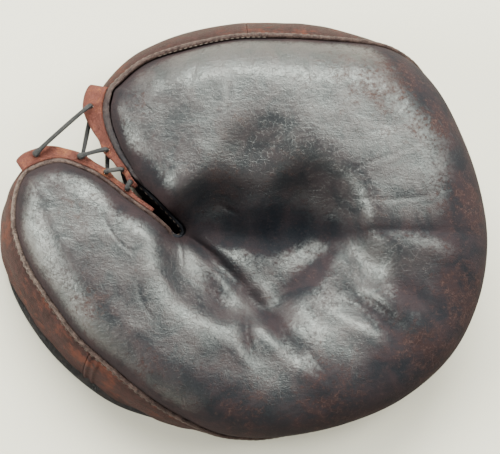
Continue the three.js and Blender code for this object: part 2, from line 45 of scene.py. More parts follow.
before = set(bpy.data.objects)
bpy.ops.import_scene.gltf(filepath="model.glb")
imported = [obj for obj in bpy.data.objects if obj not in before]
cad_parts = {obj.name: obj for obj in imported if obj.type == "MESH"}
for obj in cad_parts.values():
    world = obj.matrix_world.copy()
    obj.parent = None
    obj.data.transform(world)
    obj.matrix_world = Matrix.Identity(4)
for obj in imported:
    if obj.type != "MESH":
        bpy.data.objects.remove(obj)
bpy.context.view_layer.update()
BODY = "root"
MM = 0.001

# Sizes that the part's source also holds, in millimetres and degrees
LEATHER = 2.0
GAP = 0.3
BACK_THICKNESS = 2.5
BASE = BACK_THICKNESS + GAP
FOOT_ANGLE = -60
WELT_HEIGHT = 1.6
UNDERCUT = LEATHER + GAP
HOLLOW_CEILING = 27
FLANGE_THICKNESS = 2.0
FLANGE_DROOP = math.radians(8)
FLANGE_CLEARANCE = 0.45
JOINT = {"top": 12.2, "wrist_finger": 20.9, "wrist_heel": 23.7, "thumb": 28.65}
FINGER_TIP = (8, 10)
THUMB_TIP = (33, 37)

# Sections of the rim, clockwise from the inner end of the opening
SECTION_COLUMNS = ("x", "y", "wide", "seam", "shoulder", "lean", "tuck", "lip", "welt", "spine")
SECTIONS = np.array([
    (-35.7, -8.0, 36, 28, 14, 0, 2, 0.5, 1.4, 0.56),
    (-35.9, -5.0, 38, 28, 15, 0, 2, 0.5, 1.4, 0.7),
    (-42.2, 0.4, 43, 25, 17, 0, 2, 0.5, 1.5, 0.78),
    (-49.3, 7.3, 48, 22, 20, 0, 2, 0.5, 1.6, 0.82),
    (-60.8, 18.4, 50, 22, 24, 0, 2, 0.5, 1.8, 0.86),
    (-67.2, 28.2, 50, 22, 26, 0, 2, 0.5, 2.2, 0.89),
    (-74.7, 39.0, 50, 25, 28, 0, 3, 0.5, 2.8, 0.93),
    (-82.0, 55.0, 48, 30, 29, 0, 3, 0.5, 3.2, 0.97),
    (-85.0, 69.5, 44, 35, 30, 2, 4, 0.5, 3.2, 1.00),
    (-82.5, 84.5, 36, 38, 31, 6, 6, 1.0, 2.4, 1.00),
    (-64.9, 106.9, 26, 40, 32, 12, 8, 1.0, 1.6, 1.00),
    (-37.2, 121.1, 22, 40, 33, 18, 9, 1.0, 1.6, 0.96),
    (-2.8, 128.9, 20, 38, 34, 20, 10, 1.0, 1.6, 0.88),
    (31.7, 128.9, 22, 38, 35, 20, 10, 1.0, 1.6, 0.8),
    (65.9, 121.8, 26, 32, 36, 17, 11, 1.0, 1.6, 0.755),
    (97.0, 106.5, 34, 16, 36, 8, 13, 1.0, 1.6, 0.72),
    (120.5, 80.0, 40, -15, 36, 2, 15, 1.0, 1.6, 0.69),
    (136.5, 45.2, 42, -35, 36, 0, 17, 1.0, 1.6, 0.66),
    (145.6, 11.5, 44, -40, 36, 0, 18, 1.0, 1.6, 0.635),
    (147.8, -18.8, 44, -40, 36, 0, 18, 1.0, 1.6, 0.61),
    (141.3, -51.5, 42, -40, 36, 0, 18, 1.0, 1.6, 0.58),
    (125.1, -82.0, 38, -40, 35, 0, 18, 1.0, 1.6, 0.55),
    (96.4, -106.7, 36, -38, 34, 0, 17, 1.0, 1.6, 0.525),
    (62.7, -121.2, 34, -30, 34, 0, 16, 1.0, 1.6, 0.495),
    (27.3, -128.5, 32, -20, 34, 0, 14, 1.0, 1.6, 0.45),
    (-2.3, -128.9, 26, 0, 34, 0, 10, 1.2, 1.6, 0.405),
    (-29.5, -124.0, 16, 25, 34, 0, 5, 1.6, 1.6, 0.355),
    (-54.1, -115.4, 10, 38, 34, 1, 3, 3.4, 1.6, 0.31),
    (-78.7, -102.6, 8, 42, 34, 6, 2, 5.6, 1.6, 0.265),
    (-103.6, -82.4, 8, 42, 33, 8, 2, 6.6, 1.6, 0.215),
    (-122.4, -61.6, 8, 42, 32, 11, 2, 6.2, 1.6, 0.16),
    (-138.4, -37.4, 8, 41, 31, 12, 2, 4.6, 1.6, 0.10),
    (-146.7, -16.5, 10, 41, 30, 12, 3, 2.4, 1.6, 0.05),
    (-147.8, 1.6, 14, 41, 27, 11, 4, 1.0, 1.6, 0.00),
    (-143.0, 18.0, 22, 40, 26, 8, 5, 1.0, 1.6, 0.00),
    (-134.5, 29.2, 32, 38, 24, 5, 5, 1.0, 1.8, 0.00),
    (-124.0, 34.5, 40, 35, 23, 3, 4, 0.5, 2.0, 0.00),
    (-106.0, 36.4, 46, 30, 22, 1, 3, 0.5, 2.0, 0.00),
    (-88.0, 29.4, 48, 28, 22, 0, 2, 0.5, 1.8, 0.05),
    (-76.2, 21.6, 48, 25, 22, 0, 2, 0.5, 1.6, 0.09),
    (-64.4, 12.1, 48, 25, 22, 0, 2, 0.5, 1.6, 0.14),
    (-49.8, 1.4, 47, 25, 20, 0, 2, 0.5, 1.6, 0.2),
    (-41.5, -5.6, 43, 25, 16, 0, 2, 0.5, 1.5, 0.26),
    (-38.8, -8.2, 38, 28, 15, 0, 2, 0.5, 1.4, 0.36),
])

# The spine of the C-shaped pad, from the thumb tip round the pocket to the finger tip
SPINE = np.array([
    (-104.0, 2.0), (-77.5, -19.0), (-42.0, -41.0), (-9.0, -47.5), (14.0, -38.0),
    (21.5, -16.5), (13.5, 7.0), (-4.0, 30.5), (-26.0, 48.5), (-50.0, 58.0),
])

# Heights of the padded face: x, y, z and how far each one reaches
HEIGHTS = [
    (7, -27, 40, 22), (38, 0, 37, 20), (4, -2, 42, 16), (-11, 62, 80, 28), (30, 62, 81, 28),
    (70, 47, 80, 28), (102, 22, 76, 26), (117, -9, 69, 24), (108, -51, 62, 24), (76, -83, 58, 24),
    (36, -100, 56, 24), (-8, -100, 58, 26), (-45, -81, 66, 28), (-77, -46, 70, 28), (-101, -8, 70, 26),
    (-108, 13, 66, 24), (-63, 53, 73, 26), (12, 32, 65, 18), (-14, -30, 48, 19), (60, -45, 48, 20),
]

# Folds of the face that the solids have too: start, middle and end in plan, rise and width
FOLDS = [
    (-31, -11, -21, -18, -2, -37, -6.5, 3.6), (-8, -30, 14, -55, 34, -82, -4.5, 4),
    (-18, -25, -16, -40, -8, -59, -3, 5.5), (4, -56, 5, -70, 8, -83, -3, 3.5),
    (-6, -71, 1, -81, 8, -90, 2, 5), (11, -61, 16, -71, 24, -85, 2.5, 5),
    (31, -85, 42, -95, 55, -104, 3, 5), (45, -53, 65, -63, 87, -79, 3.5, 6),
    (63, -46, 78, -57, 92, -73, -3.5, 5), (71, -40, 89, -53, 107, -68, 3, 5),
    (85, -39, 101, -48, 117, -63, -2, 5), (50, -9, 93, -11, 140, -13, -2.5, 5),
    (60, -18, 94, -20, 134, -21, 1.5, 8), (54, -15, 47, -30, 21, -49, -2.5, 4.5),
    (-31, -5, -2, -10.5, 34, -12, -6, 6.5), (0, 8.5, 16, 8, 46, 9.5, 5.5, 6),
    (28, -41, 42, -38, 58, -44, -2, 8),
]

# Creases and small wrinkles of the leather itself, in the same columns
CREASES = [
    (50, -9, 93, -11, 142, -12, -0.5, 1.8), (54, -15, 52, -22, 47, -30, -1.3, 1.4),
    (85, 46, 92, 57, 100, 67, -0.6, 1.3), (4, -56, 5, -70, 8, -82, -0.8, 1.6),
    (-35, -8, -26, -13, -14, -21, -0.8, 1.5), (-14, -21, -6, -30, 2, -40, -0.4, 1.6),
    (-40, -9, -35, -15, -33, -29, 0.6, 1.1), (40, -79, 47, -90, 57, -103, -0.8, 1.3),
    (66, -44, 84, -56, 96, -70, -0.7, 1.2), (-6, 87, -6, 73, -7, 58, -0.7, 1.2),
    (22, 95, 22, 86, 23, 76, -0.5, 1.1), (41, 94, 41, 85, 42, 74, -0.5, 1.1),
    (-25, 87, -27, 78, -31, 69, -0.5, 1.1), (7, 96, 7, 90, 8, 84, -0.4, 1.0),
    (-12, 8, -7, 6, -1, 3, -1.0, 1.4), (92, -76, 80, -66, 70, -50, -0.4, 1.0),
    (-52, -30, -58, -44, -50, -62, -0.4, 1.2), (-80, 4, -74, -12, -62, -24, -0.3, 1.1),
    (60, 10, 88, 6, 120, 12, -0.4, 1.1), (62, 22, 84, 30, 112, 42, -0.4, 1.1),
]

# Pieces of a fold's line, how soft the seen folds are, and which folds are deep enough to be dull
FOLD_PARTS = 24
SOFT_RISE, SOFT_WIDTH = 0.8, 1.3
DEEP_FOLD, VALLEY_SPREAD = -2.4, 1.25

# Places where the face is worn to brown: x, y, how far the wear reaches and how strong it is
WORN = [
    (86, 74, 28, 0.7), (60, 84, 20, 0.5), (112, 52, 20, 0.55), (136, 6, 22, 0.6), (133, -50, 24, 0.65),
    (111, -82, 26, 0.6), (54, -114, 30, 0.55), (4, -118, 28, 0.45), (-50, -94, 20, 0.35),
    (41, -36, 20, 0.15), (-2, 51, 16, 0.3), (-12, 22, 17, 0.35), (30, 30, 16, 0.35), (17, 5, 9, 0.3),
    (-26, 3, 10, 0.25), (-84, -56, 15, 0.55), (-95, 2, 12, 0.4), (-60, 62, 12, 0.3), (88, -4, 22, 0.25),
]

# Places where the face has lost its polish and gone dark: x, y, how far it reaches and how strong it is
DULLED = [
    (42, -40, 22, 0.65), (14, -23, 17, 0.6), (108, -59, 13, 0.7), (29, -60, 15, 0.5),
    (-4, -43, 12, 0.4), (2, 2, 20, 0.5), (30, 1, 17, 0.6), (26, -12, 14, 0.6), (52, -4, 14, 0.6),
    (-10, -13, 12, 0.5), (99, -49, 16, 1.0), (-69, 1, 12, 0.6), (-89, -31, 22, 0.5),
    (-72, 54, 13, 0.45), (-66, 72, 15, 0.6), (-52, 88, 14, 0.45), (-38, 42, 22, 0.4),
    (-52, 24, 14, 0.55), (-106, 20, 14, 0.5), (-122, 10, 15, 0.5), (60, -20, 12, 0.3),
    (-50, -84, 26, 0.5), (-18, -96, 24, 0.65), (42, -76, 16, 0.3), (88, -84, 22, 0.6),
    (50, -93, 16, 0.6), (-68, -52, 20, 0.45), (134, 0, 24, 0.6), (126, -47, 26, 0.7),
    (116, 80, 20, 0.6), (100, 102, 16, 0.6),
]

# Painted shade: places at the foot of the pocket's north wall and along its deep crease, darkened to near
# black, in the same columns
POCKET_SHADE = [(0, -2, 14, 0.6), (18, -4, 16, 0.9), (38, -4, 13, 0.9), (54, -6, 10, 0.6), (-22, -2, 12, 0.6)]

# The outline of the hand hollow in plan, from the wrist mouth round finger and thumb stalls and back
HOLLOW = np.array([
    (138, -97), (121, -72), (104, -48), (86, -24), (76, 4), (66, 40), (52, 66), (20, 72), (-20, 66),
    (-36, 50), (-24, 24), (-8, 0), (-8, -36), (-34, -44), (-72, -20), (-98, 6), (-112, -4), (-102, -30),
    (-66, -66), (-22, -86), (26, -100), (43, -125), (60, -149),
], float)

# Reach of each lacing flange past the piping, by section row
FLANGES = {
    "finger": [
        (3.9, 1.8), (4.2, 3.2), (4.7, 2.2), (5.0, 3.8), (5.6, 3.6), (6.1, 6.2), (6.5, 5.5), (7.1, 8.5),
        (7.7, 11.5), (8.3, 12), (8.65, 11),
    ],
    "thumb": [
        (35.3, 8), (35.8, 9), (36.6, 8), (37.1, 5.5), (37.6, 5.6), (38.1, 3.6), (38.7, 3.9), (39.2, 2.2),
        (39.8, 3.3), (40.2, 1.8), (40.9, 1.8),
    ],
}
# Lace holes in the order that the lace takes them: section row and distance past the piping
HOLES = [
    ("thumb", 36.25, 4.6), ("finger", 7.75, 6.5), ("thumb", 37.6, 3.2), ("finger", 6.1, 3.6),
    ("thumb", 38.7, 2.1), ("finger", 5.0, 2.1), ("thumb", 39.8, 1.7), ("finger", 4.2, 1.7),
]


def smooth_step(low, high, value):
    """0 below low, 1 above high, and an S-curve between."""
    share = np.clip((value - low) / (high - low), 0, 1)
    return share * share * (3 - 2 * share)


def bell(distance, width):
    """1 at no distance, dying away as a bell of that width."""
    return np.exp(-((distance / width) ** 2))


def unit(vectors):
    """The vectors at a length of 1."""
    return vectors / np.linalg.norm(vectors, axis=-1, keepdims=True)


def lattice_noise(points, size, seed):
    """Smooth random values from -1 to 1 over plan places, blended between the corners of a lattice."""
    side = 64
    corners = np.random.default_rng(seed).uniform(-1, 1, (side, side))
    whole = np.floor(points / size).astype(int)
    across, up = np.moveaxis(smooth_step(0, 1, points / size - whole), -1, 0)
    (x0, y0), (x1, y1) = (np.moveaxis((whole + k) % side, -1, 0) for k in (0, 1))
    bottom = corners[x0, y0] * (1 - across) + corners[x1, y0] * across
    top = corners[x0, y1] * (1 - across) + corners[x1, y1] * across
    return bottom * (1 - up) + top * up


def curve_through(points, share):
    """Points of a smooth open curve through the given ones, knots spaced by the root of their distances.

    share runs from 0 at the first point to 1 at the last, evenly by point number.
    """
    first = 2 * points[0] - points[1]
    last = 2 * points[-1] - points[-2]
    padded = np.vstack([first, points, last])
    place = np.clip(np.asarray(share, float), 0, 1) * (len(points) - 1)
    whole = np.minimum(place.astype(int), len(points) - 2)
    t = (place - whole)[..., None]
    a, b, c, d = (padded[whole + k] for k in range(4))
    before = np.sqrt(np.linalg.norm(b - a, axis=-1))[..., None]
    here = np.sqrt(np.linalg.norm(c - b, axis=-1))[..., None]
    after = np.sqrt(np.linalg.norm(d - c, axis=-1))[..., None]
    start = ((b - a) / before - (c - a) / (before + here) + (c - b) / here) * here
    end = ((c - b) / here - (d - b) / (here + after) + (d - c) / after) * here
    return b + start * t + (3 * (c - b) - 2 * start - end) * t**2 + (2 * (b - c) + start + end) * t**3


def fold_rise(fold, places):
    """Rise of one fold: a bell across a bent line, weaker at both ends."""
    x0, y0, x1, y1, x2, y2, rise, width = fold
    s = np.linspace(0, 1, FOLD_PARTS + 1)[:, None]
    line = (1 - s) * (1 - 2 * s) * [x0, y0] + 4 * s * (1 - s) * [x1, y1] + s * (2 * s - 1) * [x2, y2]
    near = np.full(places.shape[:-1], np.inf)
    along = np.zeros(places.shape[:-1])
    for start, step, begin in zip(line, np.diff(line, axis=0), s[:, 0]):
        part = np.clip(((places - start) @ step) / (step @ step), 0, 1)
        distance = np.linalg.norm(places - start - part[..., None] * step, axis=-1)
        along = np.where(distance < near, begin + part / FOLD_PARTS, along)
        near = np.minimum(distance, near)
    return rise * (0.4 + 0.6 * np.sin(np.pi * along)) * bell(near, width)

def face_height(places, detail=False):
    """Height of the face over plan places: the given heights blended by bells, plus the folds.

    With detail, the folds are softer, and the leather's creases and the padding's unevenness are added.
    """
    total = weights = 0
    for x, y, z, reach in HEIGHTS:
        weight = bell(np.linalg.norm(places - [x, y], axis=-1), reach) + 1e-9
        total = total + weight * z
        weights = weights + weight
    height = total / weights
    rise, width = (SOFT_RISE, SOFT_WIDTH) if detail else (1, 1)
    for fold in FOLDS:
        height += fold_rise(fold[:6] + (fold[6] * rise, fold[7] * width), places)
    if detail:
        height += sum(fold_rise(crease, places) for crease in CREASES)
        height += 0.55 * lattice_noise(places, 17, 1) + 0.22 * lattice_noise(places, 7, 2)
    return height


class Rim:
    """Sections of the rim at the row numbers u, read from the table as smooth curves through its rows.

    x and y are the widest point in plan and wide is its height. seam is the seam's angle on the skin,
    shoulder how far in the round edge reaches, lean how much further its top leans, tuck how far in the foot
    is, lip how far the back stands out, welt half the piping's width, and spine its end along the spine.
    """

    def __init__(self, u):
        self.u = np.asarray(u, float) % len(SECTIONS)
        whole = np.floor(self.u).astype(int)
        t = (self.u - whole)[:, None]
        a, b, c, d = (SECTIONS[(whole + k) % len(SECTIONS)] for k in (-1, 0, 1, 2))
        second, third = 2 * a - 5 * b + 4 * c - d, 3 * (b - c) + d - a
        value = b + 0.5 * t * (c - a + t * (second + t * third))
        slope = 0.5 * (c - a + t * (2 * second + 3 * t * third))
        for name, column in zip(SECTION_COLUMNS, value.T):
            setattr(self, name, column[:, None])
        self.edge = value[:, None, :2]
        self.square = unit(np.stack([slope[:, 1], -slope[:, 0]], 1))[:, None]
        self.end = curve_through(SPINE, spine_at(self.u))[:, None]
        self.length = np.linalg.norm(self.end - self.edge, axis=2)
        self.towards = (self.end - self.edge) / self.length[..., None]

    def inset(self, distance):
        """Plan places inset from the edge: square to it at first, then towards the spine."""
        share = (np.clip(distance / self.length, 0, 1) ** 2)[..., None]
        return self.edge + distance[..., None] * (self.square * (1 - share) + self.towards * share)

    def skin(self, angle, depth=0.0, detail=False):
        """Points of the outer skin: angle 90 is the top of the shoulder, 0 the widest point, less the side.

        Above 0 a quarter of a wave rises from the widest height to the face, below it another falls to the
        foot. depth goes inward, square to the skin.
        """
        angle = np.broadcast_to(angle, (len(self.u), np.shape(angle)[-1]))
        sine, cosine = np.sin(np.radians(angle)), np.cos(np.radians(angle))
        foot = math.radians(FOOT_ANGLE)
        above = angle >= 0
        run_top = self.shoulder * (1 - cosine) + self.lean * sine
        reach = self.tuck / (1 - math.cos(foot))
        run = np.where(above, run_top, reach * (1 - cosine))
        rise = face_height(self.inset(run_top), detail) - self.wide
        rise = np.where(above, rise, (self.wide - BASE) / math.sin(-foot))
        slope_run = np.where(above, self.shoulder * sine + self.lean * cosine, reach * sine)
        slope_z = rise * cosine
        size = np.hypot(slope_run, slope_z)
        place = self.inset(run + depth * slope_z / size)
        z = self.wide + rise * sine - depth * slope_run / size
        return np.concatenate([place, z[..., None]], axis=2)

    def per_degree(self):
        """Distance along the skin for one degree at the seam."""
        return np.linalg.norm(self.skin(self.seam + 1) - self.skin(self.seam), axis=2)

    def beside_seam(self, distance):
        """Angle that lies a distance up the skin from the seam, or down where it is negative."""
        return self.seam + distance / self.per_degree()

    def below_piping(self):
        """Angle just under the piping, clear of it."""
        return self.beside_seam(-(self.welt + GAP))

    def seam_frame(self):
        """The seam's points, and its directions up along the skin and square out of it."""
        at = self.skin(self.seam)
        up = self.skin(self.seam + 1) - at
        out = self.skin(self.seam, -1.0) - at
        return at, unit(up), unit(out)

    def groove_corner(self, side, depth):
        """A corner of the groove that the piping lies in, above it (side 1) or below it (side -1)."""
        at, up, out = self.seam_frame()
        return at + up * (side * (self.welt + GAP))[..., None] - out * np.reshape(depth, (-1, 1, 1))


def spine_at(u):
    """Where a section ends along the spine, read straight between rows so that it never overshoots."""
    spine = SECTIONS[:, -1]
    return np.interp(u % len(SECTIONS), np.arange(len(SECTIONS) + 1), np.append(spine, spine[0]))


def even_rows(start, end, step):
    """Row numbers from start to end whose places on the rim are about step millimetres apart."""
    fine = np.linspace(start, end, 4000)
    length = path_lengths(Rim(fine).edge[:, 0])
    count = max(2, round(length[-1] / step) + 1)
    return np.interp(np.linspace(0, length[-1], count), length, fine)


def strip_faces(rows, columns):
    """Faces of a strip whose closed outline folds back on itself half way, with both ends closed."""
    j = np.arange(columns // 2 - 1)
    cap = np.stack([columns - 1 - j, j, j + 1, columns - 2 - j], 1)
    other = cap[:, ::-1] + (rows - 1) * columns
    return np.vstack([grid_faces(rows, columns, loop_columns=True), cap, other])


def end_rings(rows, columns):
    """The corners of the first and the last outline of a tube, as two end faces."""
    return [list(range(columns)), list(range((rows - 1) * columns, rows * columns))]


def new_object(name, points, faces):
    """A mesh object in the scene from points in millimetres."""
    mesh = bpy.data.meshes.new(name)
    corners = faces.tolist() if isinstance(faces, np.ndarray) else faces
    mesh.from_pydata((np.asarray(points).reshape(-1, 3) * MM).tolist(), [], corners)
    made = bpy.data.objects.new(name, mesh)
    bpy.context.scene.collection.objects.link(made)
    return made


def grid_faces(rows, columns, loop_rows=False, loop_columns=False):
    """Quads of a grid of points, joined round in either direction where it loops."""
    i = np.arange(rows if loop_rows else rows - 1)[:, None]
    j = np.arange(columns if loop_columns else columns - 1)[None, :]
    down, right = (i + 1) % rows, (j + 1) % columns
    corners = [i * columns + j, down * columns + j, down * columns + right, i * columns + right]
    return np.stack(np.broadcast_arrays(*corners), -1).reshape(-1, 4)


def add_piece(name, points, faces, materials, along=None, masks=None):
    """A smooth piece that rides on the frame.

    masks are values for its points, and along holds the millimetres along and across it for its UV map.
    """
    piece = new_object(name, points, faces)
    mesh = piece.data
    mesh.polygons.foreach_set("use_smooth", np.ones(len(mesh.polygons), bool))
    for mask, values in (masks or {}).items():
        layer = mesh.attributes.new(mask, "FLOAT", "POINT")
        values = np.broadcast_to(values, points.shape[:2])
        layer.data.foreach_set("value", values.astype(np.float32).ravel())
    if along:
        uv = np.stack(np.broadcast_arrays(*along), -1) * MM
        corner = np.zeros(len(mesh.loops), np.int32)
        mesh.loops.foreach_get("vertex_index", corner)
        layer = mesh.uv_layers.new(name="along")
        layer.data.foreach_set("uv", uv.astype(np.float32).reshape(-1, 2)[corner].ravel())
    for material in materials:
        mesh.materials.append(material)
    mesh.validate()
    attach(piece, BODY)
    return piece


@contextlib.contextmanager
def edited(mesh):
    """Opens a mesh for editing and puts the changes back at the end."""
    work = bmesh.new()
    work.from_mesh(mesh)
    yield work
    work.to_mesh(mesh)
    work.free()


def clean(piece, distance=1e-6):
    """Merges corners that fall together, such as the two halves of the face along the spine."""
    with edited(piece.data) as work:
        bmesh.ops.remove_doubles(work, verts=work.verts, dist=distance)
        bmesh.ops.dissolve_degenerate(work, edges=work.edges, dist=distance)


def face_outward(piece, caps=()):
    """Adds an end face over each list of corners, then turns every face outward."""
    with edited(piece.data) as work:
        work.verts.ensure_lookup_table()
        for corners in caps:
            work.faces.new([work.verts[i] for i in corners])
        bmesh.ops.recalc_face_normals(work, faces=work.faces)


def prism(name, outlines, heights):
    """A closed upright solid through outlines in plan at rising heights, with flat ends."""
    rings = [np.column_stack([outline, np.full(len(outline), z)]) for outline, z in zip(outlines, heights)]
    rows, columns = len(rings), len(rings[0])
    first, last = end_rings(rows, columns)
    faces = grid_faces(rows, columns, loop_columns=True).tolist() + [first[::-1], last]
    solid = new_object(name, rings, faces)
    face_outward(solid)
    return solid


def cut(piece, cutter):
    """Takes the cutter's shape out of the piece's mesh and deletes the cutter."""
    bpy.context.view_layer.update()
    modifier = piece.modifiers.new("cut", "BOOLEAN")
    modifier.operation = "DIFFERENCE"
    modifier.solver = "MANIFOLD"
    modifier.object = cutter
    graph = bpy.context.evaluated_depsgraph_get()
    whole = piece.evaluated_get(graph)
    mesh = bpy.data.meshes.new_from_object(whole, preserve_all_data_layers=True, depsgraph=graph)
    old = piece.data
    piece.modifiers.clear()
    piece.data = mesh
    mesh.name = old.name
    bpy.data.meshes.remove(old)
    bpy.data.objects.remove(cutter)


def punch(piece, centre, radius):
    """Cuts an upright round hole, 9 mm deep about its centre, out of a thin piece."""
    turn = 2 * math.pi * np.arange(20) / 20
    ring = centre[:2] + radius * np.column_stack([np.sin(turn), np.cos(turn)])
    cut(piece, prism("hole_cutter", [ring, ring], (centre[2] - 4.5, centre[2] + 4.5)))


def tube(path, across, up, profile):
    """A closed outline carried along a path: profile gives shares of the across and up directions."""
    return path[:, None] + across[:, None] * profile[..., :1] + up[:, None] * profile[..., 1:]


def round_profile(sides, half_width, half_height, power):
    """An oval outline, squarer as power grows."""
    a = 2 * np.pi * (np.arange(sides) + 0.5) / sides
    x = np.sign(np.cos(a)) * np.abs(np.cos(a)) ** (2 / power) * half_width
    y = np.sign(np.sin(a)) * np.abs(np.sin(a)) ** (2 / power) * half_height
    return np.stack([x, y], -1)


def path_noise(path_length, size, seed):
    """Smooth random values from -1 to 1 along a path."""
    return lattice_noise(np.column_stack([path_length, path_length * 0]), size, seed)


def in_millimetres(size):
    """A size property in millimetres, free of the rounding of its single precision."""
    return round(size / MM, 4)


def path_lengths(path):
    """Distance along a path up to each of its points."""
    return np.append(0, np.cumsum(np.linalg.norm(np.diff(path, axis=0), axis=1)))


class Wire:
    """One shader value or colour; sums, differences, products and quotients of values add Math nodes."""

    def __init__(self, paint, socket):
        self.paint = paint
        self.socket = socket

    def math(self, operation, *values):
        return self.paint.node("ShaderNodeMath", {"operation": operation}, dict(enumerate(values)))

    def __add__(self, other):
        return self.math("ADD", self, other)

    __radd__ = __add__

    def __sub__(self, other):
        return self.math("SUBTRACT", self, other)

    def __rsub__(self, other):
        return self.math("SUBTRACT", other, self)

    def __mul__(self, other):
        return self.math("MULTIPLY", self, other)

    __rmul__ = __mul__

    def __truediv__(self, other):
        return self.math("DIVIDE", self, other)

    def at_least(self, other):
        return self.math("MAXIMUM", self, other)

    def between(self, low, high):
        """0 at low and 1 at high, held at both ends."""
        inputs = {"Value": self, "From Min": low, "From Max": high}
        return self.paint.node("ShaderNodeMapRange", {"interpolation_type": "SMOOTHSTEP"}, inputs)


class Paint:
    """Builds one material: node() adds any node, settings first, then the values or links of its sockets."""

    def __init__(self, name):
        self.material = bpy.data.materials.new(name)
        self.material.use_nodes = True
        self.tree = self.material.node_tree
        self.shader = self.tree.nodes["Principled BSDF"]
        self.place = self.node("ShaderNodeTexCoord", {}, {}, "Object")

    def node(self, kind, settings, inputs, output=0):
        made = self.tree.nodes.new(kind)
        for key, value in settings.items():
            setattr(made, key, value)
        for key, value in inputs.items():
            self.feed(made.inputs[key], value)
        return Wire(self, made.outputs[output])

    def feed(self, socket, value):
        if isinstance(value, Wire):
            self.tree.links.new(value.socket, socket)
        else:
            socket.default_value = value

    def noise(self, size, detail=3.0, rough=0.5, warp=0.0, where=None, output=0):
        """Soft noise from 0 to 1 whose lumps are about size millimetres."""
        inputs = {"Vector": where or self.place, "Scale": 1000 / size, "Detail": detail, "Roughness": rough,
                  "Distortion": warp}
        return self.node("ShaderNodeTexNoise", {}, inputs, output)

    def cracks(self, size, where, width):
        """1 on the borders of irregular cells about size millimetres wide, 0 away from them."""
        inputs = {"Vector": where, "Scale": 1000 / size}
        border = self.node("ShaderNodeTexVoronoi", {"feature": "DISTANCE_TO_EDGE"}, inputs)
        return 1 - border.between(0.0, width)

    def shaken(self, size, amount):
        """The object's places pushed about by noise of that size, by amount millimetres."""
        push = self.noise(size, 2.0, output="Color")
        kind = "ShaderNodeVectorMath"
        centred = self.node(kind, {"operation": "SUBTRACT"}, {0: push, 1: (0.5, 0.5, 0.5)})
        scaled = self.node(kind, {"operation": "SCALE"}, {0: centred, "Scale": 2 * amount * MM})
        return self.node(kind, {"operation": "ADD"}, {0: self.place, 1: scaled})

    def stretched(self, scale):
        """Places scaled by a factor along each axis, so that a pattern is drawn out."""
        inputs = {"Vector": self.place, "Scale": scale}
        return self.node("ShaderNodeMapping", {"vector_type": "POINT"}, inputs)

    def mask(self, name):
        return self.node("ShaderNodeAttribute", {"attribute_name": name}, {}, "Fac")

    def across(self):
        """Metres across the piece, from its UV."""
        along = self.node("ShaderNodeUVMap", {"uv_map": "along"}, {})
        return self.node("ShaderNodeSeparateXYZ", {}, {0: along}, 1)

    def mix(self, share, first, second):
        settings = {"data_type": "RGBA", "clamp_factor": True}
        return self.node("ShaderNodeMix", settings, {0: share, 6: first, 7: second}, 2)

    def bump(self, height, depth):
        """A Bump node: height from 0 to 1 stands for depth millimetres."""
        return self.node("ShaderNodeBump", {}, {"Height": height, "Strength": 1.0, "Distance": depth * MM})

    def worn_through(self, share, colour, normal):
        """Mixes a dull shader of the same colour over the polished one, by share."""
        dull = self.node("ShaderNodeBsdfPrincipled", {}, {
            "Base Color": colour, "Normal": normal, "Roughness": 0.75, "Specular IOR Level": 0.05})
        polished = Wire(self, self.shader.outputs[0])
        mixed = self.node("ShaderNodeMixShader", {}, {0: share, 1: polished, 2: dull})
        self.feed(self.tree.nodes["Material Output"].inputs["Surface"], mixed)

    def finish(self, colour, roughness, normal, **fixed):
        """Feeds the shader's sockets, the fixed ones with a plain value, and returns the material."""
        self.feed(self.shader.inputs["Base Color"], colour)
        self.feed(self.shader.inputs["Roughness"], roughness)
        self.feed(self.shader.inputs["Normal"], normal)
        for name, value in fixed.items():
            self.shader.inputs[SHADER_SOCKETS[name]].default_value = value
        return self.material


SHADER_SOCKETS = {"shine": "Specular IOR Level", "metal": "Metallic"}


def shade(colour, factor):
    """A colour made lighter or darker, with its alpha kept."""
    return (*(min(1.0, part * factor) for part in colour[:3]), 1.0)


def leather(name, dark, worn, gloss, crack_size=3.2, wear=0.5, relief=1.0, shine=0.35):
    """Old leather: mottled colour, fine cracks that show the paler inside, pore grain and uneven polish."""
    paint = Paint(name)
    shaken = paint.shaken(6, 1.6)
    broad = paint.noise(34, 4, 0.6, 0.4)
    patch = paint.noise(9, 5, 0.65, 0.6)
    crack = paint.cracks(crack_size, shaken, 0.09)
    hair = paint.cracks(crack_size * 0.42, shaken, 0.12)
    rubbed = (broad * 0.6 + patch * 0.6).between(0.62, 0.86)
    colour = paint.mix(patch.between(0.3, 0.75) * 0.8, dark, shade(dark, 1.9))
    colour = paint.mix(rubbed * wear, colour, worn)
    colour = paint.mix(crack * patch.between(0.45, 0.7) * wear, colour, shade(worn, 1.25))
    height = paint.noise(0.9, 3, 0.6) * 0.35 - crack * 0.6 - hair * 0.35 + patch * 0.5
    roughness = gloss + (patch - 0.5) * 0.25 + crack * 0.2 + rubbed * 0.08
    return paint.finish(colour, roughness, paint.bump(height, 0.5 * relief), shine=shine)


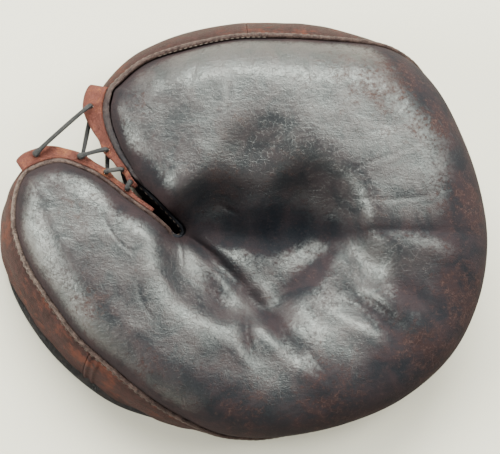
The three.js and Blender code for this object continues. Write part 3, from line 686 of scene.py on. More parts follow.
def face_leather(look):
    """The palm's leather: near black, polished by use, mottled red-brown with tan flecks where it is worn.

    Worn and dull places, and the painted shade of the pocket's deep crease, come from the masks, broken up by
    noise; a dull shader lies over dull ones.
    """
    paint = Paint("face_leather")
    shaken = paint.shaken(6, 1.8)
    broad = paint.noise(60, 3, 0.5, 0.4)
    patch = paint.noise(14, 5, 0.6, 0.6)
    mottle = paint.noise(4.5, 4, 0.65, 0.4)
    fleck = paint.noise(1.7, 3, 0.7, 0.2)
    pores = paint.noise(0.9, 3, 0.6)
    wrinkles = paint.noise(3.0, 4, 0.6, 0.3, paint.stretched((0.5, 1.5, 1.5)))
    crack = paint.cracks(3.4, shaken, 0.05) * mottle.between(0.42, 0.6)
    hair = paint.cracks(1.7, shaken, 0.1) * fleck.between(0.42, 0.6)
    spots, specks = mottle - 0.5, fleck - 0.5
    worn = (paint.mask("worn") * 1.1 + (patch - 0.5) * 0.9 + spots * 0.9).between(0.1, 1.0)
    brown = (worn + spots * 0.9 + specks * 0.9).between(0.1, 0.95)
    colour = paint.mix(patch.between(0.35, 0.65) * 0.9, look.face_dark, look.face_purple)
    colour = paint.mix(brown * 0.8, colour, look.face_brown)
    tan = (fleck * 0.7 + mottle * 0.3).between(0.52, 0.64) * (0.3 + worn * 0.7)
    colour = paint.mix(tan * 0.22, colour, look.face_tan)
    colour = paint.mix(crack * brown * 0.26, colour, look.face_tan)
    colour = paint.mix(paint.mask("rim") * 0.45, colour, look.face_brown)
    # painted shade: the pocket's deep crease and the foot of its wall are darkened to near black
    colour = paint.mix(paint.mask("black") * (1 - tan), colour, look.face_pocket_shade)
    height = (pores * 0.25 + fleck * 0.42 + mottle * 0.45 + wrinkles * 0.5 + patch
              - crack * 0.25 - hair * 0.14)
    normal = paint.bump(height, 0.45)
    uneven = (patch - 0.5) * 0.3 + (broad - 0.5) * 0.2 + spots * 0.2
    roughness = (look.face_roughness + brown * 0.1 + crack * 0.15 + uneven).at_least(0.16)
    dull = paint.mask("dull") + brown * 0.15 + tan * 0.3 + spots * 0.5 + specks * 0.55
    paint.worn_through(dull.between(0.0, 1.0), colour, normal)
    return paint.finish(colour, roughness, normal, shine=look.face_shine)


# The padded palm
PAD_STEP = 1.7
FACE_ROWS = 40
SHOULDER_ROWS = 46
SIDE_ROWS = 14
SEAM_DIP = 0.5
SEAM_DIP_WIDTH = 3.2
ROWS_TO_SEAM = 1.35
FOOT_INSET = 4
DEEP_DIP_ROW, DEEP_DIP_ROWS = 10.5, 3.5
WRIST_BLEND = 0.5
SEAM_SHADE = 6
EDGE_SHADE = 26
HOLLOW_EDGE = 5.0


def wall_share(rim):
    """1 where side leather covers the pad, 0 at the open wrist, with a short change between."""
    into = np.minimum(rim.u - JOINT["wrist_finger"], JOINT["wrist_heel"] - rim.u)[:, None]
    return 1 - smooth_step(-0.02, WRIST_BLEND * 0.5, into)


def pad_points(rim, rows_face, rows_shoulder, rows_side):
    """Points and masks of the padded form, section by section, from the spine over the edge to beneath.

    The face follows face_height, the shoulder follows the skin and dips into the seam, and the side lies
    behind the side leather, coming out to the skin where the wrist is open.
    """
    round_end = rim.shoulder + rim.lean
    run = rim.length + (round_end - rim.length) * np.linspace(0, 1, rows_face, endpoint=False)
    places = rim.inset(run)
    face = np.concatenate([places, face_height(places, True)[..., None]], axis=2)
    edge = rim.beside_seam(rim.welt + GAP)
    angle = 90 + (edge - 90) * (1 - np.linspace(1, 0, rows_shoulder) ** ROWS_TO_SEAM)
    above = (angle - edge) * rim.per_degree()
    covered = wall_share(rim)
    deep = bell(rim.u - DEEP_DIP_ROW, DEEP_DIP_ROWS)[:, None]
    dip = SEAM_DIP * (1 + 3.0 * deep) * bell(above, SEAM_DIP_WIDTH * (1 + 0.7 * deep))
    shoulder = rim.skin(angle, dip * covered, True)
    groove = [rim.groove_corner(side, UNDERCUT * covered + 0.01) for side in (1, -1)]
    low = rim.below_piping()
    side = rim.skin(low + (FOOT_ANGLE - low) * np.linspace(0, 1, rows_side)[1:], UNDERCUT * covered)
    foot = rim.inset(rim.tuck + UNDERCUT + FOOT_INSET)
    base = np.stack([foot, rim.end], 2)[:, 0]
    base = np.concatenate([base, np.full(base.shape[:2] + (1,), BASE)], axis=2)
    points = np.concatenate([face, shoulder, *groove, side, base], axis=1)

    turn, seam = np.radians(np.maximum(angle, 0)), np.radians(np.maximum(edge, 0))
    face_run = run - rim.shoulder * (1 - np.cos(seam)) - rim.lean * np.sin(seam)
    round_run = rim.shoulder * (np.cos(seam) - np.cos(turn)) + rim.lean * (np.sin(turn) - np.sin(seam))
    below = np.zeros((len(rim.u), points.shape[1] - rows_face - rows_shoulder))
    inset = np.concatenate([face_run, round_run, below], axis=1)
    plan = points[..., :2]
    # black is painted shade in the pocket's deep crease; it also dulls the polish there
    wear, black = strongest(WORN, plan), strongest(POCKET_SHADE, plan)
    width = SEAM_SHADE + (EDGE_SHADE - SEAM_SHADE) * smooth_step(30, 0, rim.seam)
    dull = np.maximum(bell(inset, width), wear * 0.45) + strongest(DULLED, plan)
    dull += 0.7 * valley_at(plan) + 0.6 * black
    return points, {"rim": bell(inset, SEAM_SHADE), "worn": wear, "dull": dull, "black": black}


def valley_at(places):
    """1 along the bottom of the deepest folds, dying away up their sides."""
    deepest = [fold[:6] + (1.0, fold[7] * VALLEY_SPREAD) for fold in FOLDS if fold[6] < DEEP_FOLD]
    return np.maximum.reduce([fold_rise(fold, places) for fold in deepest])


def strongest(spots, places):
    """The strongest of the listed spots over plan places, each one a bell of its own reach and strength."""
    return np.maximum.reduce([
        strength * bell(np.hypot(places[..., 0] - x, places[..., 1] - y), reach)
        for x, y, reach, strength in spots])

def pad_rows():
    """Row numbers all round, so that the outside and the inside of the C meet at the same spine places."""
    outside = even_rows(FINGER_TIP[1], THUMB_TIP[0], PAD_STEP)
    thumb = even_rows(*THUMB_TIP, PAD_STEP)[1:-1]
    finger = even_rows(*FINGER_TIP, PAD_STEP)[1:-1]
    inner = np.arange(THUMB_TIP[1], len(SECTIONS) + FINGER_TIP[0] + 1)
    inside = np.interp(spine_at(outside)[::-1], spine_at(inner.astype(float)), inner)
    return np.concatenate([outside, thumb, inside, finger])


def hollow_cutter(lining):
    """The hand hollow as a solid to cut with: its outline from under the pad up to a round-edged ceiling."""
    outline = curve_through(HOLLOW, np.linspace(0, 1, 150))
    forward = np.roll(outline, -1, 0) - np.roll(outline, 1, 0)
    inward = unit(np.stack([-forward[:, 1], forward[:, 0]], 1))
    turn = np.linspace(0, math.pi / 2, 7)
    steps = np.append(0, HOLLOW_EDGE * (1 - np.cos(turn)))
    heights = np.append(BASE - 2, HOLLOW_CEILING - HOLLOW_EDGE * (1 - np.sin(turn)))
    cutter = prism("hollow_cutter", [outline + inward * step for step in steps], heights)
    for _ in range(2):
        cutter.data.materials.append(lining)
    cutter.data.polygons.foreach_set("material_index", np.ones(len(cutter.data.polygons), np.int32))
    return cutter


def make_pad(look):
    """The padded palm, thumb lobe and finger lobe in face leather, with the hand hollow lined."""
    points, masks = pad_points(Rim(pad_rows()), FACE_ROWS, SHOULDER_ROWS, SIDE_ROWS)
    faces = grid_faces(*points.shape[:2], loop_rows=True)
    lining = leather("lining_leather", look.lining_dark, look.lining_worn, gloss=0.6)
    pad = add_piece("palm_pad_leather", points, faces, [face_leather(look), lining], masks=masks)
    clean(pad)
    cut(pad, hollow_cutter(lining))
    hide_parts("palm_pad")


# Side leather
WALLS = {
    "side_wall_finger": (JOINT["top"], JOINT["wrist_finger"]),
    "side_wall_heel": (JOINT["wrist_heel"], JOINT["thumb"]),
    "side_wall_notch": (JOINT["thumb"], JOINT["top"] + len(SECTIONS)),
}
WALL_STEP = 0.9
DUSTY_ROW, DUSTY_ROWS = 33, 3.2
RIB_PLACES = (1.6, 6.6)
RIB_RISE, RIB_WIDTH = 1.2, 1.1
WALL_ROWS = 28
WALL_END = 0.003
WALL_SWELL = 0.9
WALL_DIP = 0.6


def side_leather(look):
    """Side leather: dark red-brown, rubbed to orange in patches, paler and dusty just below the piping, with
    painted shade round the inner end of the opening.
    """
    paint = Paint("side_leather")
    broad = paint.noise(26, 4, 0.6, 0.5)
    mottle = paint.noise(5, 4, 0.65, 0.4)
    fine = paint.noise(1.2, 3, 0.65)
    drawn = paint.noise(3.0, 4, 0.6, 0.3, paint.stretched((0.7, 0.7, 2.0)))
    crack = paint.cracks(3.0, paint.shaken(4, 1.2), 0.07)
    spots = mottle - 0.5
    band = 1 - (paint.across() / MM + spots * 3).between(1.0, 3.5)
    dusty = (paint.mask("dusty") * (0.4 + band) + spots * 0.8).between(0.1, 1.1)
    rubbed = (broad * 0.8 + mottle * 0.5 + band * 0.08).between(0.66, 0.84)
    blotch = (mottle * 0.6 + fine * 0.4).between(0.4, 0.62)
    colour = paint.mix(blotch, look.side_dark, shade(look.side_dark, 2.0))
    colour = paint.mix(rubbed * 0.8, colour, look.side_worn)
    colour = paint.mix(dusty * 0.6, colour, look.side_dusty)
    colour = paint.mix(crack * 0.4, colour, shade(look.side_dark, 0.5))
    # painted shade: round the inner end of the opening, where the finger lobe overhangs, the side leather
    # takes the piping's shaded colour
    colour = paint.mix(paint.mask("shaded"), colour, look.welt_shaded)
    height = fine * 0.3 + drawn * 0.6 + mottle * 0.4 - crack * 0.3
    roughness = 0.6 + spots * 0.3 + rubbed * 0.1 + band * 0.1
    return paint.finish(colour, roughness, paint.bump(height, 0.45), shine=0.04)


def dusty_at(u):
    """How dusty the outside of the rim is: palest on the thumb's outer side, hardly at all elsewhere."""
    return np.maximum(bell(u - DUSTY_ROW, DUSTY_ROWS), 0.05)


def in_opening(u, near, far):
    """1 round the inner end of the opening, changing to 0 over a stretch of rows on either side."""
    past = np.where(u > len(SECTIONS) / 2, u - len(SECTIONS), u)
    return smooth_step(*near, past) * (1 - smooth_step(*far, past))


def joint_ribs(name, distance):
    """Rise of the two raised ribs that hold the end of the heel strip, from the distance to that end."""
    if name != "side_wall_heel":
        return 0 * distance
    return sum(RIB_RISE * bell(distance - place, RIB_WIDTH) for place in RIB_PLACES)


def make_side_walls(look):
    """Three strips of side leather from the piping to the foot, 2 mm thick, slack between seams."""
    material = side_leather(look)
    part = np.linspace(0, 1, WALL_ROWS)
    for name, (start, end) in WALLS.items():
        rim = Rim(even_rows(start + WALL_END, end - WALL_END, WALL_STEP))
        top = rim.below_piping()
        angle = top + (FOOT_ANGLE - top) * part
        outer = rim.skin(angle)
        inner = rim.skin(angle[:, ::-1], LEATHER)
        slack = lattice_noise(outer[..., :2] + outer[..., 2:] * 0.7, 14, 5)
        slack = WALL_SWELL * np.sin(math.pi * part) * slack
        length = path_lengths(outer[:, 0])[:, None]
        slack += joint_ribs(name, length[-1] - length) * np.sin(math.pi * part) ** 0.3
        outer = outer + (outer - rim.skin(angle, 1.0)) * (slack - WALL_DIP * bell(part * 30, 2.0))[..., None]
        points = np.concatenate([outer, inner], axis=1)
        along = (length, np.linalg.norm(points - outer[:, :1], axis=2))
        # painted shade round the inner end of the opening, under the finger lobe
        shaded = in_opening(rim.u, (-2.5, -1.0), (4.0, 7.0))[:, None]
        masks = {"dusty": dusty_at(rim.u)[:, None], "shaded": shaded}
        faces = strip_faces(*points.shape[:2])
        wall = add_piece(name + "_leather", points, faces, [material], along, masks)
        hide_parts(name)


# Piping
WELT_STEP = 1.0
WELT_SIDES = 14
WELT_SINK = 0.2
WELT_TUCK = 3.0


def piping_leather(look):
    """Piping: rubbed pale on top, with dark lines across it; blue-black where the finger lobe shades it."""
    paint = Paint("piping_leather")
    mottle = paint.noise(4, 4, 0.65, 0.4)
    fine = paint.noise(0.9, 3, 0.65)
    crack = paint.cracks(1.8, paint.shaken(3, 1.0), 0.1)
    colour = paint.mix((mottle * 0.7 + fine * 0.3).between(0.38, 0.62), look.welt_dark, look.welt_worn)
    colour = paint.mix(paint.mask("dusty") * mottle.between(0.3, 0.6) * 0.8, colour, look.welt_dusty)
    colour = paint.mix(crack * 0.5, colour, shade(look.welt_dark, 0.4))
    colour = paint.mix(paint.mask("shaded") * 0.92, colour, look.welt_shaded)
    height = fine * 0.4 + mottle * 0.5 - crack * 0.4
    return paint.finish(colour, 0.5 + (mottle - 0.5) * 0.2, paint.bump(height, 0.4), shine=0.12)


def make_welt(look):
    """The piping: a flat oval bead along the seam, pinched a little at each stitch."""
    start, end = JOINT["wrist_heel"] + WALL_END, JOINT["wrist_finger"] + len(SECTIONS) - WALL_END
    rim = Rim(even_rows(start, end, WELT_STEP))
    at, up, out = (part[:, 0] for part in rim.seam_frame())
    length = path_lengths(at)
    pinch = 1 - 0.10 * np.abs(np.cos(np.pi * length / in_millimetres(look.stitch_pitch))) ** 6
    swell = (pinch * (1 + 0.10 * path_noise(length, 9, 8)))[:, None]
    tucked = in_opening(rim.u, (-1.6, -0.4), (3.0, 5.0))[:, None]
    a = 2 * np.pi * (np.arange(WELT_SIDES) + 0.5) / WELT_SIDES
    height = WELT_HEIGHT * np.cos(a) * swell - WELT_SINK - WELT_TUCK * tucked
    points = tube(at, up, out, np.stack([rim.welt * np.sin(a) * swell, height], 2))
    # painted shade: the tucked piping and the piping beside the finger lobe are darkened to blue-black
    shaded = np.maximum(tucked, 0.75 * bell(rim.u - 5.5, 2.6)[:, None])
    masks = {"shaded": shaded, "dusty": dusty_at(rim.u)[:, None]}
    faces = grid_faces(*points.shape[:2], loop_columns=True)[:, ::-1]
    along = (length[:, None], a / (2 * np.pi) * 10)
    welt = add_piece("welt_piping", points, faces, [piping_leather(look)], along, masks)
    face_outward(welt, end_rings(*points.shape[:2]))
    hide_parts("welt")


# Lacing flanges
FLANGE_STEP = 0.9
FLANGE_ROWS = 9
FLANGE_TUCK = 0.7
LACE_HOLE_RADIUS = 1.5


def flange_places(row, distance, lift=0.0):
    """Places on a flange, by section row, distance out from the piping and lift off its middle plane."""
    rim = Rim(row)
    at, up, out = (part[:, 0] for part in rim.seam_frame())
    flat = np.column_stack([-rim.square[:, 0], np.zeros(len(at))])
    up_share, out_share = (up * flat).sum(1), (out * flat).sum(1)
    welt = rim.welt[:, 0]
    across = np.hypot(welt * up_share, WELT_HEIGHT * out_share)
    sag = (welt**2 * up_share * up[:, 2] + WELT_HEIGHT**2 * out_share * out[:, 2]) / across
    places = at + flat * (across + FLANGE_CLEARANCE + distance)[:, None]
    places[:, 2] += sag - distance * math.tan(FLANGE_DROOP) + lift
    return places


def hole_place(hole):
    """The middle of a lace hole, from its side, section row and distance past the piping."""
    return flange_places(np.array([hole[1]]), np.array([hole[2]]))[0]


def make_flanges(look):
    """The two lacing flanges: scalloped, slightly wavy flaps with a hole for each pass of the lace."""
    dark, worn = look.flange_dark, look.flange_worn
    material = leather("flange_leather", dark, worn, gloss=0.6, crack_size=2.2, wear=0.9, shine=0.15)
    part = np.linspace(0, 1, FLANGE_ROWS)
    half = FLANGE_THICKNESS / 2 * np.sqrt(1 - np.clip(part * 2 - 1.02, 0, 0.98) ** 6)
    for side, table in FLANGES.items():
        row, width = np.array(table, float).T
        rows = even_rows(row[0], row[-1], FLANGE_STEP)
        reach = np.pad(np.interp(rows, row, width), 2, mode="edge")
        reach = np.convolve(reach, np.array([1, 2, 3, 2, 1]) / 9, "valid")
        ends = np.minimum(np.arange(len(rows)), np.arange(len(rows))[::-1])
        corner = np.sqrt(1 - (1 - np.clip(ends / 2.0, 0, 1)) ** 2)
        reach = reach * (0.93 + 0.07 * corner)
        sheet = []
        for share, height in zip([*part, *part[::-1]], [*half, *-half[::-1]]):
            wave = 0.7 * share * lattice_noise(np.column_stack([rows * 9, rows * 0 + share * 4]), 8, 11)
            place = reach * share - FLANGE_TUCK * (1 - share) ** 4
            sheet.append(flange_places(rows, place, height * (0.55 + 0.45 * corner) + wave))
        points = np.stack(sheet, 1)
        flange = add_piece(side + "_flange_leather", points, strip_faces(*points.shape[:2]), [material])
        face_outward(flange)
        for hole in HOLES:
            if hole[0] == side:
                punch(flange, hole_place(hole), LACE_HOLE_RADIUS)
        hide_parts(side + "_lacing_flange")


# Lace
LACE_TURN = 3.2
LACE_TAIL = 9
LACE_POINTS = 900
LACE_SIDES = 12
LACE_KNOTS = (0, 2)
LACE_KNOT_SWELL, LACE_KNOT_REACH = 0.6, 2.6
ACROSS_LACE = np.array([0.81, -0.58, 0.0])


def lace_path():
    """The lace's middle line: up through a thumb hole, over to the finger flange, down, and back under."""
    places = [hole_place(hole) for hole in HOLES]
    points = [places[0] - [0, 0, LACE_TAIL]]
    for number, place in enumerate(places):
        turn = LACE_TURN if number % 2 else -LACE_TURN
        points += [place + [0, 0, lift] for lift in (turn, 0, -turn)]
    points.append(places[-1] - [0, 0, LACE_TAIL])
    return curve_through(np.array(points), np.linspace(0, 1, LACE_POINTS))


def make_lace(look):
    """The leather lace: a flat round-edged strand that keeps its width level, thicker at its knots."""
    path = lace_path()
    forward = unit(np.gradient(path, axis=0))
    across = unit(ACROSS_LACE - forward * (forward @ ACROSS_LACE)[:, None])
    length = path_lengths(path)
    uneven = 1 + 0.10 * path_noise(length, 6, 21)
    for number in LACE_KNOTS:
        knot = hole_place(HOLES[number]) + [0, 0, LACE_TURN]
        uneven += LACE_KNOT_SWELL * bell(np.linalg.norm(path - knot, axis=1), LACE_KNOT_REACH)
    half_width, half_height = (in_millimetres(size) / 2 for size in (look.lace_width, look.lace_thickness))
    profile = round_profile(LACE_SIDES, half_width, half_height, 2.8) * uneven[:, None, None]
    points = tube(path, across, np.cross(forward, across), profile)
    along = (length[:, None], np.linspace(0, 6, LACE_SIDES))
    dark, worn = look.lace_dark, look.lace_worn
    material = leather("lace_leather", dark, worn, gloss=0.6, crack_size=1.2, wear=0.6, relief=0.6)
    faces = grid_faces(*points.shape[:2], loop_columns=True)
    lace = add_piece("lace_strand", points, faces, [material], along)
    face_outward(lace, end_rings(*points.shape[:2]))
    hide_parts("lace")


# Back panel, strap and stud
BRIDGE = (4.2, 40.2)
CUT_OUT = (47, -49)
CUT_OUT_HALF = 30
CUT_OUT_LENGTH = 110
HEEL_DIRECTION = math.atan2(-0.82, 0.57)
STRAP_WIDTH, STRAP_THICKNESS, STRAP_LENGTH = 24, 2.5, 86
STRAP_AT = (65, -74)
STUD_ACROSS = 36
STUD_HEAD, STUD_POST, STUD_CAP_RADIUS, STUD_SUNK, STUD_CAP = 6, 2, 4.5, 1.9, 1.4


def turned(points, origin):
    """Plan points given along and across the heel's direction, moved to an origin."""
    c, s = math.cos(HEEL_DIRECTION), math.sin(HEEL_DIRECTION)
    a, b = np.asarray(points, float).T
    return np.column_stack([origin[0] + a * c - b * s, origin[1] + a * s + b * c])


def plate(name, outline, low, high, material, edge):
    """A flat piece of an outline in plan between two heights, its edges rounded by a bevel."""
    piece = prism(name, [outline, outline], (low, high))
    with edited(piece.data) as work:
        rims = [e for e in work.edges if len(e.link_faces) == 2 and e.calc_face_angle(0) > 1.2]
        bmesh.ops.bevel(work, geom=rims, offset=edge * MM, segments=3, profile=0.5, affect="EDGES")
    piece.data.materials.append(material)
    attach(piece, BODY)
    return piece


def make_back(look):
    """The back panel on which the mitt lies, with the wrist cut-out and the hole for the stud."""
    # back_dark is partly painted shade: the back's own dark leather, made darker still for the shadow under
    # the mitt's edge
    material = leather("back_leather", look.back_dark, look.back_worn, gloss=0.55, crack_size=2.8)
    rim = Rim(even_rows(*BRIDGE, 2.0))
    back = plate("back_panel_leather", rim.inset(rim.tuck - rim.lip)[:, 0], 0, BACK_THICKNESS, material, 0.7)
    arc = np.linspace(math.pi / 2, math.pi * 1.5, 40)
    opening = CUT_OUT_HALF * np.column_stack([np.cos(arc), np.sin(arc)])
    opening = np.vstack([opening, [CUT_OUT_LENGTH, -CUT_OUT_HALF], [CUT_OUT_LENGTH, CUT_OUT_HALF]])
    cut(back, prism("mouth_cutter", [turned(opening, CUT_OUT)] * 2, (-1, BACK_THICKNESS + 1)))
    stud = turned([[0, STUD_ACROSS]], STRAP_AT)[0]
    punch(back, [*stud, BACK_THICKNESS / 2], STUD_POST + GAP)
    punch(back, [*stud, STUD_SUNK - 4.5], STUD_HEAD + GAP)
    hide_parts("back_panel")
    make_strap(look, material, stud)


def make_strap(look, material, stud):
    """The wrist strap inside the back panel, its edges rounded, and the brass stud through both."""
    half, end = STRAP_WIDTH / 2, STRAP_LENGTH / 2
    outline = turned([[-half, -end], [half, -end], [half, end], [-half, end]], STRAP_AT)
    strap = plate("wrist_strap_leather", outline, BASE, BASE + STRAP_THICKNESS, material, 0.6)
    punch(strap, [*stud, BASE + 1], STUD_POST + GAP)
    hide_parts("wrist_strap")
    top = BASE + STRAP_THICKNESS + GAP
    profile = np.array([
        (0, GAP), (STUD_HEAD - 0.4, GAP), (STUD_HEAD, GAP + 0.4), (STUD_HEAD, STUD_SUNK - GAP),
        (STUD_POST, STUD_SUNK - GAP), (STUD_POST, top), (STUD_CAP_RADIUS, top),
        (STUD_CAP_RADIUS - 0.3, top + 0.5), (STUD_CAP_RADIUS * 0.6, top + 1.1), (0, top + STUD_CAP),
    ])
    radius, height = profile[:, :1], profile[:, 1:]
    a = np.linspace(0, 2 * math.pi, 40, endpoint=False)
    points = np.stack([stud[0] + radius * np.cos(a), stud[1] + radius * np.sin(a), height + 0 * a], -1)
    faces = grid_faces(*points.shape[:2], loop_columns=True)
    cap = add_piece("strap_stud_brass", points, faces, [worn_brass(look)])
    clean(cap)
    face_outward(cap)
    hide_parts("strap_stud")


def worn_brass(look):
    """Dull brass, darker and rougher in blotches."""
    paint = Paint("stud_metal")
    blotch = paint.noise(3, 4, 0.6)
    colour = paint.mix(blotch.between(0.35, 0.7), look.brass, shade(look.brass, 0.45))
    return paint.finish(colour, 0.32 + blotch * 0.3, paint.bump(blotch, 0.1), metal=1.0)


def waxed_thread(look):
    """Waxed thread gone dark and dusty."""
    paint = Paint("seam_thread")
    speck = paint.noise(1.5, 3, 0.6)
    colour = paint.mix(speck.between(0.35, 0.7), look.thread, shade(look.thread, 0.5))
    return paint.finish(colour, 0.7 + (speck - 0.5) * 0.2, paint.bump(paint.noise(0.4), 0.1))


# Stitches
STITCH_SIDES = 6
STITCH_END = 0.03
FACE_STITCH_ROWS = (10.3, 12.6)
STITCH_RINGS = np.array([(-1.0, 0.0), (-0.86, 0.62), (-0.5, 1.0), (0.5, 1.0), (0.86, 0.62), (1.0, 0.0)])


def stitch_row(path, outward, pitch, length, width, lift):
    """Corners of the stitches along a path: each one a short round-ended grain of thread, sunk at its ends.

    outward is the surface's direction out at each point of the path.
    """
    reach = path_lengths(path)
    centres = np.arange(pitch / 2, reach[-1], pitch)
    curves = (path, outward, np.gradient(path, reach, axis=0))
    place, out, forward = (
        np.stack([np.interp(centres, reach, line) for line in curve.T], 1)[:, None, None]
        for curve in curves)
    forward, out = unit(forward), unit(out)
    a = 2 * np.pi * np.arange(STITCH_SIDES) / STITCH_SIDES
    along, size = STITCH_RINGS.T
    height = lift * (1 - along**4) - width * 0.1
    sideways = (size * width / 2)[:, None] * np.cos(a)
    upward = (size * width / 2)[:, None] * np.sin(a) + height[:, None]
    points = (place + forward * (along * length / 2)[:, None, None]
              + np.cross(forward, out) * sideways[..., None] + out * upward[..., None])
    return points.reshape(-1, 3)


def make_stitches(look):
    """Thread: rows beside the piping and above the foot of the side leather, and one on the face."""
    pitch, length, width = map(in_millimetres, (look.stitch_pitch, look.stitch_length, look.thread_width))
    seams = []
    for start, end in WALLS.values():
        rim = Rim(even_rows(start + STITCH_END, end - STITCH_END, 1.0))
        for angle in (rim.beside_seam(-(rim.welt + GAP + 1.5)), FOOT_ANGLE + 8 + 0 * rim.seam):
            seams.append((rim, angle, pitch, length, width, 0.15))
    rim = Rim(even_rows(*FACE_STITCH_ROWS, 1.0))
    seams.append((rim, rim.beside_seam(rim.welt + GAP + 1.0), 3.2, 2.0, width, -0.2))
    rows = []
    for rim, angle, *size in seams:
        path = rim.skin(angle)
        rows.append(stitch_row(path[:, 0], (path - rim.skin(angle, 1.0))[:, 0], *size))
    points = np.vstack(rows)
    one = grid_faces(len(STITCH_RINGS), STITCH_SIDES, loop_columns=True)
    step = len(STITCH_RINGS) * STITCH_SIDES
    faces = (one[None] + np.arange(0, len(points), step)[:, None, None]).reshape(-1, 4)
    seam = add_piece("side_seam_stitches", points, faces, [waxed_thread(look)])


# Floor, lights and camera
LIGHTS = [
    ("window", (0.0, 1.2, 1.2), (1.6, 0.75)),
    ("sky", (0.3, 0.45, 1.6), (1.2, 0.7)),
    ("west_panel", (-1.35, -0.16, 0.55), (1.0, 0.34)),
    ("east_panel", (1.05, 0.33, 1.1), (0.9, 1.3)),
    ("front_panel", (0.1, -1.3, 0.75), (1.6, 0.7)),
]
LIGHT_TINT = (0.935, 1.0, 0.895)
SKY_COLOUR = (0.94, 0.98, 1.0, 1)
LOOK_AT = Vector((0.0066, -0.0042, 0.04))
FLOOR_HALF = 6


def looking_at_middle(name, data, place):
    """An object with that data, put in the scene and turned to look at the middle of the mitt."""
    made = bpy.data.objects.new(name, data)
    made.location = place
    made.rotation_euler = (LOOK_AT - place).to_track_quat("-Z", "Y").to_euler()
    bpy.context.scene.collection.objects.link(made)
    return made


def make_stage(look):
    """Pale floor, soft window light from beyond the fingers, fills, and the camera at the photo's angle."""
    paint = Paint("pale_floor")
    tone = paint.noise(900, 2, 0.5)
    colour = paint.mix(tone, look.floor, shade(look.floor, 0.97))
    half = FLOOR_HALF / MM
    corners = [(-half, -half, 0), (half, -half, 0), (half, half, 0), (-half, half, 0)]
    floor = new_object("floor", corners, [(0, 1, 2, 3)])
    floor.data.materials.append(paint.finish(colour, 0.9, paint.bump(tone, 0.01)))

    scene = bpy.context.scene
    scene.world = bpy.data.worlds.new("studio")
    scene.world.use_nodes = True
    background = scene.world.node_tree.nodes["Background"]
    background.inputs["Color"].default_value = SKY_COLOUR
    background.inputs["Strength"].default_value = look.fill
    for name, place, size in LIGHTS:
        data = bpy.data.lights.new(name, "AREA")
        data.shape = "RECTANGLE"
        data.size, data.size_y = size
        data.energy = getattr(look, name)
        data.color = LIGHT_TINT
        looking_at_middle(name, data, Vector(place))

    data = bpy.data.cameras.new("camera")
    data.sensor_width = 36
    data.lens = look.focal_length
    data.clip_start = 0.01
    away = Vector((0, -math.cos(look.camera_rise), math.sin(look.camera_rise))) * look.camera_distance
    scene.camera = looking_at_middle("camera", data, LOOK_AT + away)


def colour(name, description, *value):
    return bpy.props.FloatVectorProperty(
        name=name, description=description, default=(*value, 1.0), size=4, min=0, max=1, subtype="COLOR")


def number(name, description, default, subtype="NONE", low=0.0, high=1000.0):
    return bpy.props.FloatProperty(
        name=name, description=description, default=default, min=low, max=high, subtype=subtype)


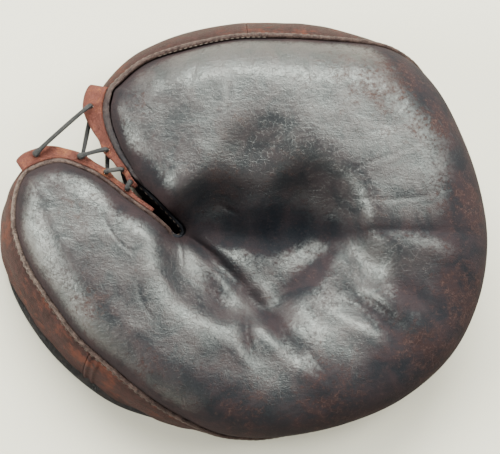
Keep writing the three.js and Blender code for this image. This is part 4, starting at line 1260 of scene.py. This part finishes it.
class MittLook(bpy.types.PropertyGroup):
    """Sizes of lace and thread, colours of the leathers, thread and floor, and the camera and lights."""

    lace_width: number("Lace width", "Width of the lace strand", 0.0026, "DISTANCE")
    lace_thickness: number("Lace thickness", "Thickness of the lace strand", 0.0019, "DISTANCE")
    stitch_pitch: number("Stitch pitch", "From one stitch to the next", 0.0042, "DISTANCE", 0.001)
    stitch_length: number("Stitch length", "Length of one stitch", 0.0026, "DISTANCE")
    thread_width: number("Thread width", "Thickness of the seam thread", 0.0006, "DISTANCE")
    face_dark: colour("Face, dark", "Polished palm leather", 0.014, 0.0140, 0.0175)
    face_purple: colour("Face, patches", "Patches of the palm leather", 0.027, 0.0185, 0.0215)
    face_brown: colour("Face, worn", "Palm leather where it is worn", 0.031, 0.0175, 0.0178)
    face_tan: colour("Face, cracks", "Flecks and cracks of the palm", 0.14, 0.082, 0.072)
    # Colour of the painted shade in the pocket's deep crease and at the foot of its wall
    face_pocket_shade: colour("Face, pocket", "Ground-in dirt of the pocket", 0.005, 0.006, 0.009)
    face_shine: number("Face shine", "How strongly the palm leather mirrors light", 0.85, "FACTOR", 0, 1)
    face_roughness: number("Face roughness", "How dull the palm leather is", 0.385, "FACTOR", 0.05, 1)
    lining_dark: colour("Lining, dark", "Lining of the hand hollow", 0.12, 0.065, 0.035)
    lining_worn: colour("Lining, worn", "Lining where it is worn", 0.24, 0.14, 0.08)
    side_dark: colour("Side, dark", "Side leather", 0.021, 0.0095, 0.0095)
    side_dusty: colour("Side, dusty", "Side leather just below the piping", 0.075, 0.041, 0.036)
    side_worn: colour("Side, worn", "Side leather where it is worn", 0.088, 0.030, 0.021)
    welt_dark: colour("Piping, dark", "Piping leather", 0.026, 0.014, 0.0135)
    welt_worn: colour("Piping, worn", "Piping leather on top", 0.072, 0.044, 0.039)
    welt_dusty: colour("Piping, dusty", "Piping on the thumb's outer side", 0.16, 0.115, 0.100)
    # Colour of the painted shade on the piping and side leather under the finger lobe
    welt_shaded: colour("Piping, shaded", "Piping beside the finger lobe", 0.022, 0.022, 0.028)
    flange_dark: colour("Flange, dark", "Lacing flanges", 0.085, 0.026, 0.020)
    flange_worn: colour("Flange, worn", "Lacing flanges where pale", 0.24, 0.088, 0.038)
    lace_dark: colour("Lace, dark", "Lace", 0.020, 0.018, 0.020)
    lace_worn: colour("Lace, worn", "Lace where it is dusty", 0.09, 0.078, 0.070)
    # The back's own dark leather, darkened further to stand in for the shadow under the mitt's edge, so
    # partly painted shade
    back_dark: colour("Back, dark", "Back panel and strap", 0.014, 0.011, 0.012)
    back_worn: colour("Back, worn", "Back panel where it is worn", 0.055, 0.035, 0.028)
    brass: colour("Brass", "Stud", 0.45, 0.32, 0.14)
    thread: colour("Thread", "Stitching", 0.085, 0.058, 0.048)
    floor: colour("Floor", "Studio floor", 0.67, 0.61, 0.53)
    fill: number("Fill light", "Strength all round", 0.08)
    window: number("Window light", "Soft light from beyond the fingers", 110, "POWER")
    sky: number("Top light", "Soft light from above", 5.5, "POWER")
    west_panel: number("West light", "Soft light from the thumb side", 50, "POWER")
    east_panel: number("East light", "Soft light from the pocket side", 46, "POWER")
    front_panel: number("Front light", "Soft light from the wrist side", 4, "POWER")
    focal_length: number("Focal length", "Camera lens", 108, "DISTANCE_CAMERA", 10)
    camera_rise: number("Camera rise", "Angle above the floor", math.radians(80), "ANGLE")
    camera_distance: number("Camera distance", "From the middle of the mitt", 0.9, "DISTANCE", 0.1)


class MITT_OT_stage(bpy.types.Operator):
    """Makes the floor, the lights and the camera"""
    bl_idname = "mitt.stage"
    bl_label = "Stage"

    def execute(self, context):
        make_stage(context.scene.mitt_look)
        return {"FINISHED"}


class MITT_OT_pad(bpy.types.Operator):
    """Makes the padded palm with the pocket and the hand hollow"""
    bl_idname = "mitt.pad"
    bl_label = "Padded palm"

    def execute(self, context):
        make_pad(context.scene.mitt_look)
        return {"FINISHED"}


class MITT_OT_side_walls(bpy.types.Operator):
    """Makes the three strips of side leather"""
    bl_idname = "mitt.side_walls"
    bl_label = "Side leather"

    def execute(self, context):
        make_side_walls(context.scene.mitt_look)
        return {"FINISHED"}


class MITT_OT_welt(bpy.types.Operator):
    """Makes the piping along the seam"""
    bl_idname = "mitt.welt"
    bl_label = "Piping"

    def execute(self, context):
        make_welt(context.scene.mitt_look)
        return {"FINISHED"}


class MITT_OT_flanges(bpy.types.Operator):
    """Makes the two flaps with the lace holes"""
    bl_idname = "mitt.flanges"
    bl_label = "Lacing flanges"

    def execute(self, context):
        make_flanges(context.scene.mitt_look)
        return {"FINISHED"}


class MITT_OT_lace(bpy.types.Operator):
    """Makes the lace through both flanges"""
    bl_idname = "mitt.lace"
    bl_label = "Lace"

    def execute(self, context):
        make_lace(context.scene.mitt_look)
        return {"FINISHED"}


class MITT_OT_back(bpy.types.Operator):
    """Makes the back panel, the wrist strap and its stud"""
    bl_idname = "mitt.back"
    bl_label = "Back and strap"

    def execute(self, context):
        make_back(context.scene.mitt_look)
        return {"FINISHED"}


class MITT_OT_stitches(bpy.types.Operator):
    """Makes the rows of thread along the seams"""
    bl_idname = "mitt.stitches"
    bl_label = "Stitches"

    def execute(self, context):
        make_stitches(context.scene.mitt_look)
        return {"FINISHED"}


class MITT_PT_panel(bpy.types.Panel):
    """Lists the mitt's makers and settings."""

    bl_label = "Catching mitt"
    bl_space_type = "VIEW_3D"
    bl_region_type = "UI"
    bl_category = "Mitt"

    def draw(self, context):
        for step in OPERATORS:
            self.layout.operator(step.bl_idname)
        look = context.scene.mitt_look
        for name in MittLook.__annotations__:
            self.layout.prop(look, name)


OPERATORS = [
    MITT_OT_stage, MITT_OT_pad, MITT_OT_side_walls, MITT_OT_welt,
    MITT_OT_flanges, MITT_OT_lace, MITT_OT_back, MITT_OT_stitches,
]


CLASSES = [MittLook, *OPERATORS, MITT_PT_panel]


def register():
    for made in CLASSES:
        bpy.utils.register_class(made)
    bpy.types.Scene.mitt_look = bpy.props.PointerProperty(type=MittLook)


def unregister():
    del bpy.types.Scene.mitt_look
    for made in reversed(CLASSES):
        bpy.utils.unregister_class(made)


def main():
    register()
    bpy.ops.mitt.stage()
    bpy.ops.mitt.pad()
    bpy.ops.mitt.side_walls()
    bpy.ops.mitt.welt()
    bpy.ops.mitt.flanges()
    bpy.ops.mitt.lace()
    bpy.ops.mitt.back()
    bpy.ops.mitt.stitches()


if __name__ == "__main__":
    main()
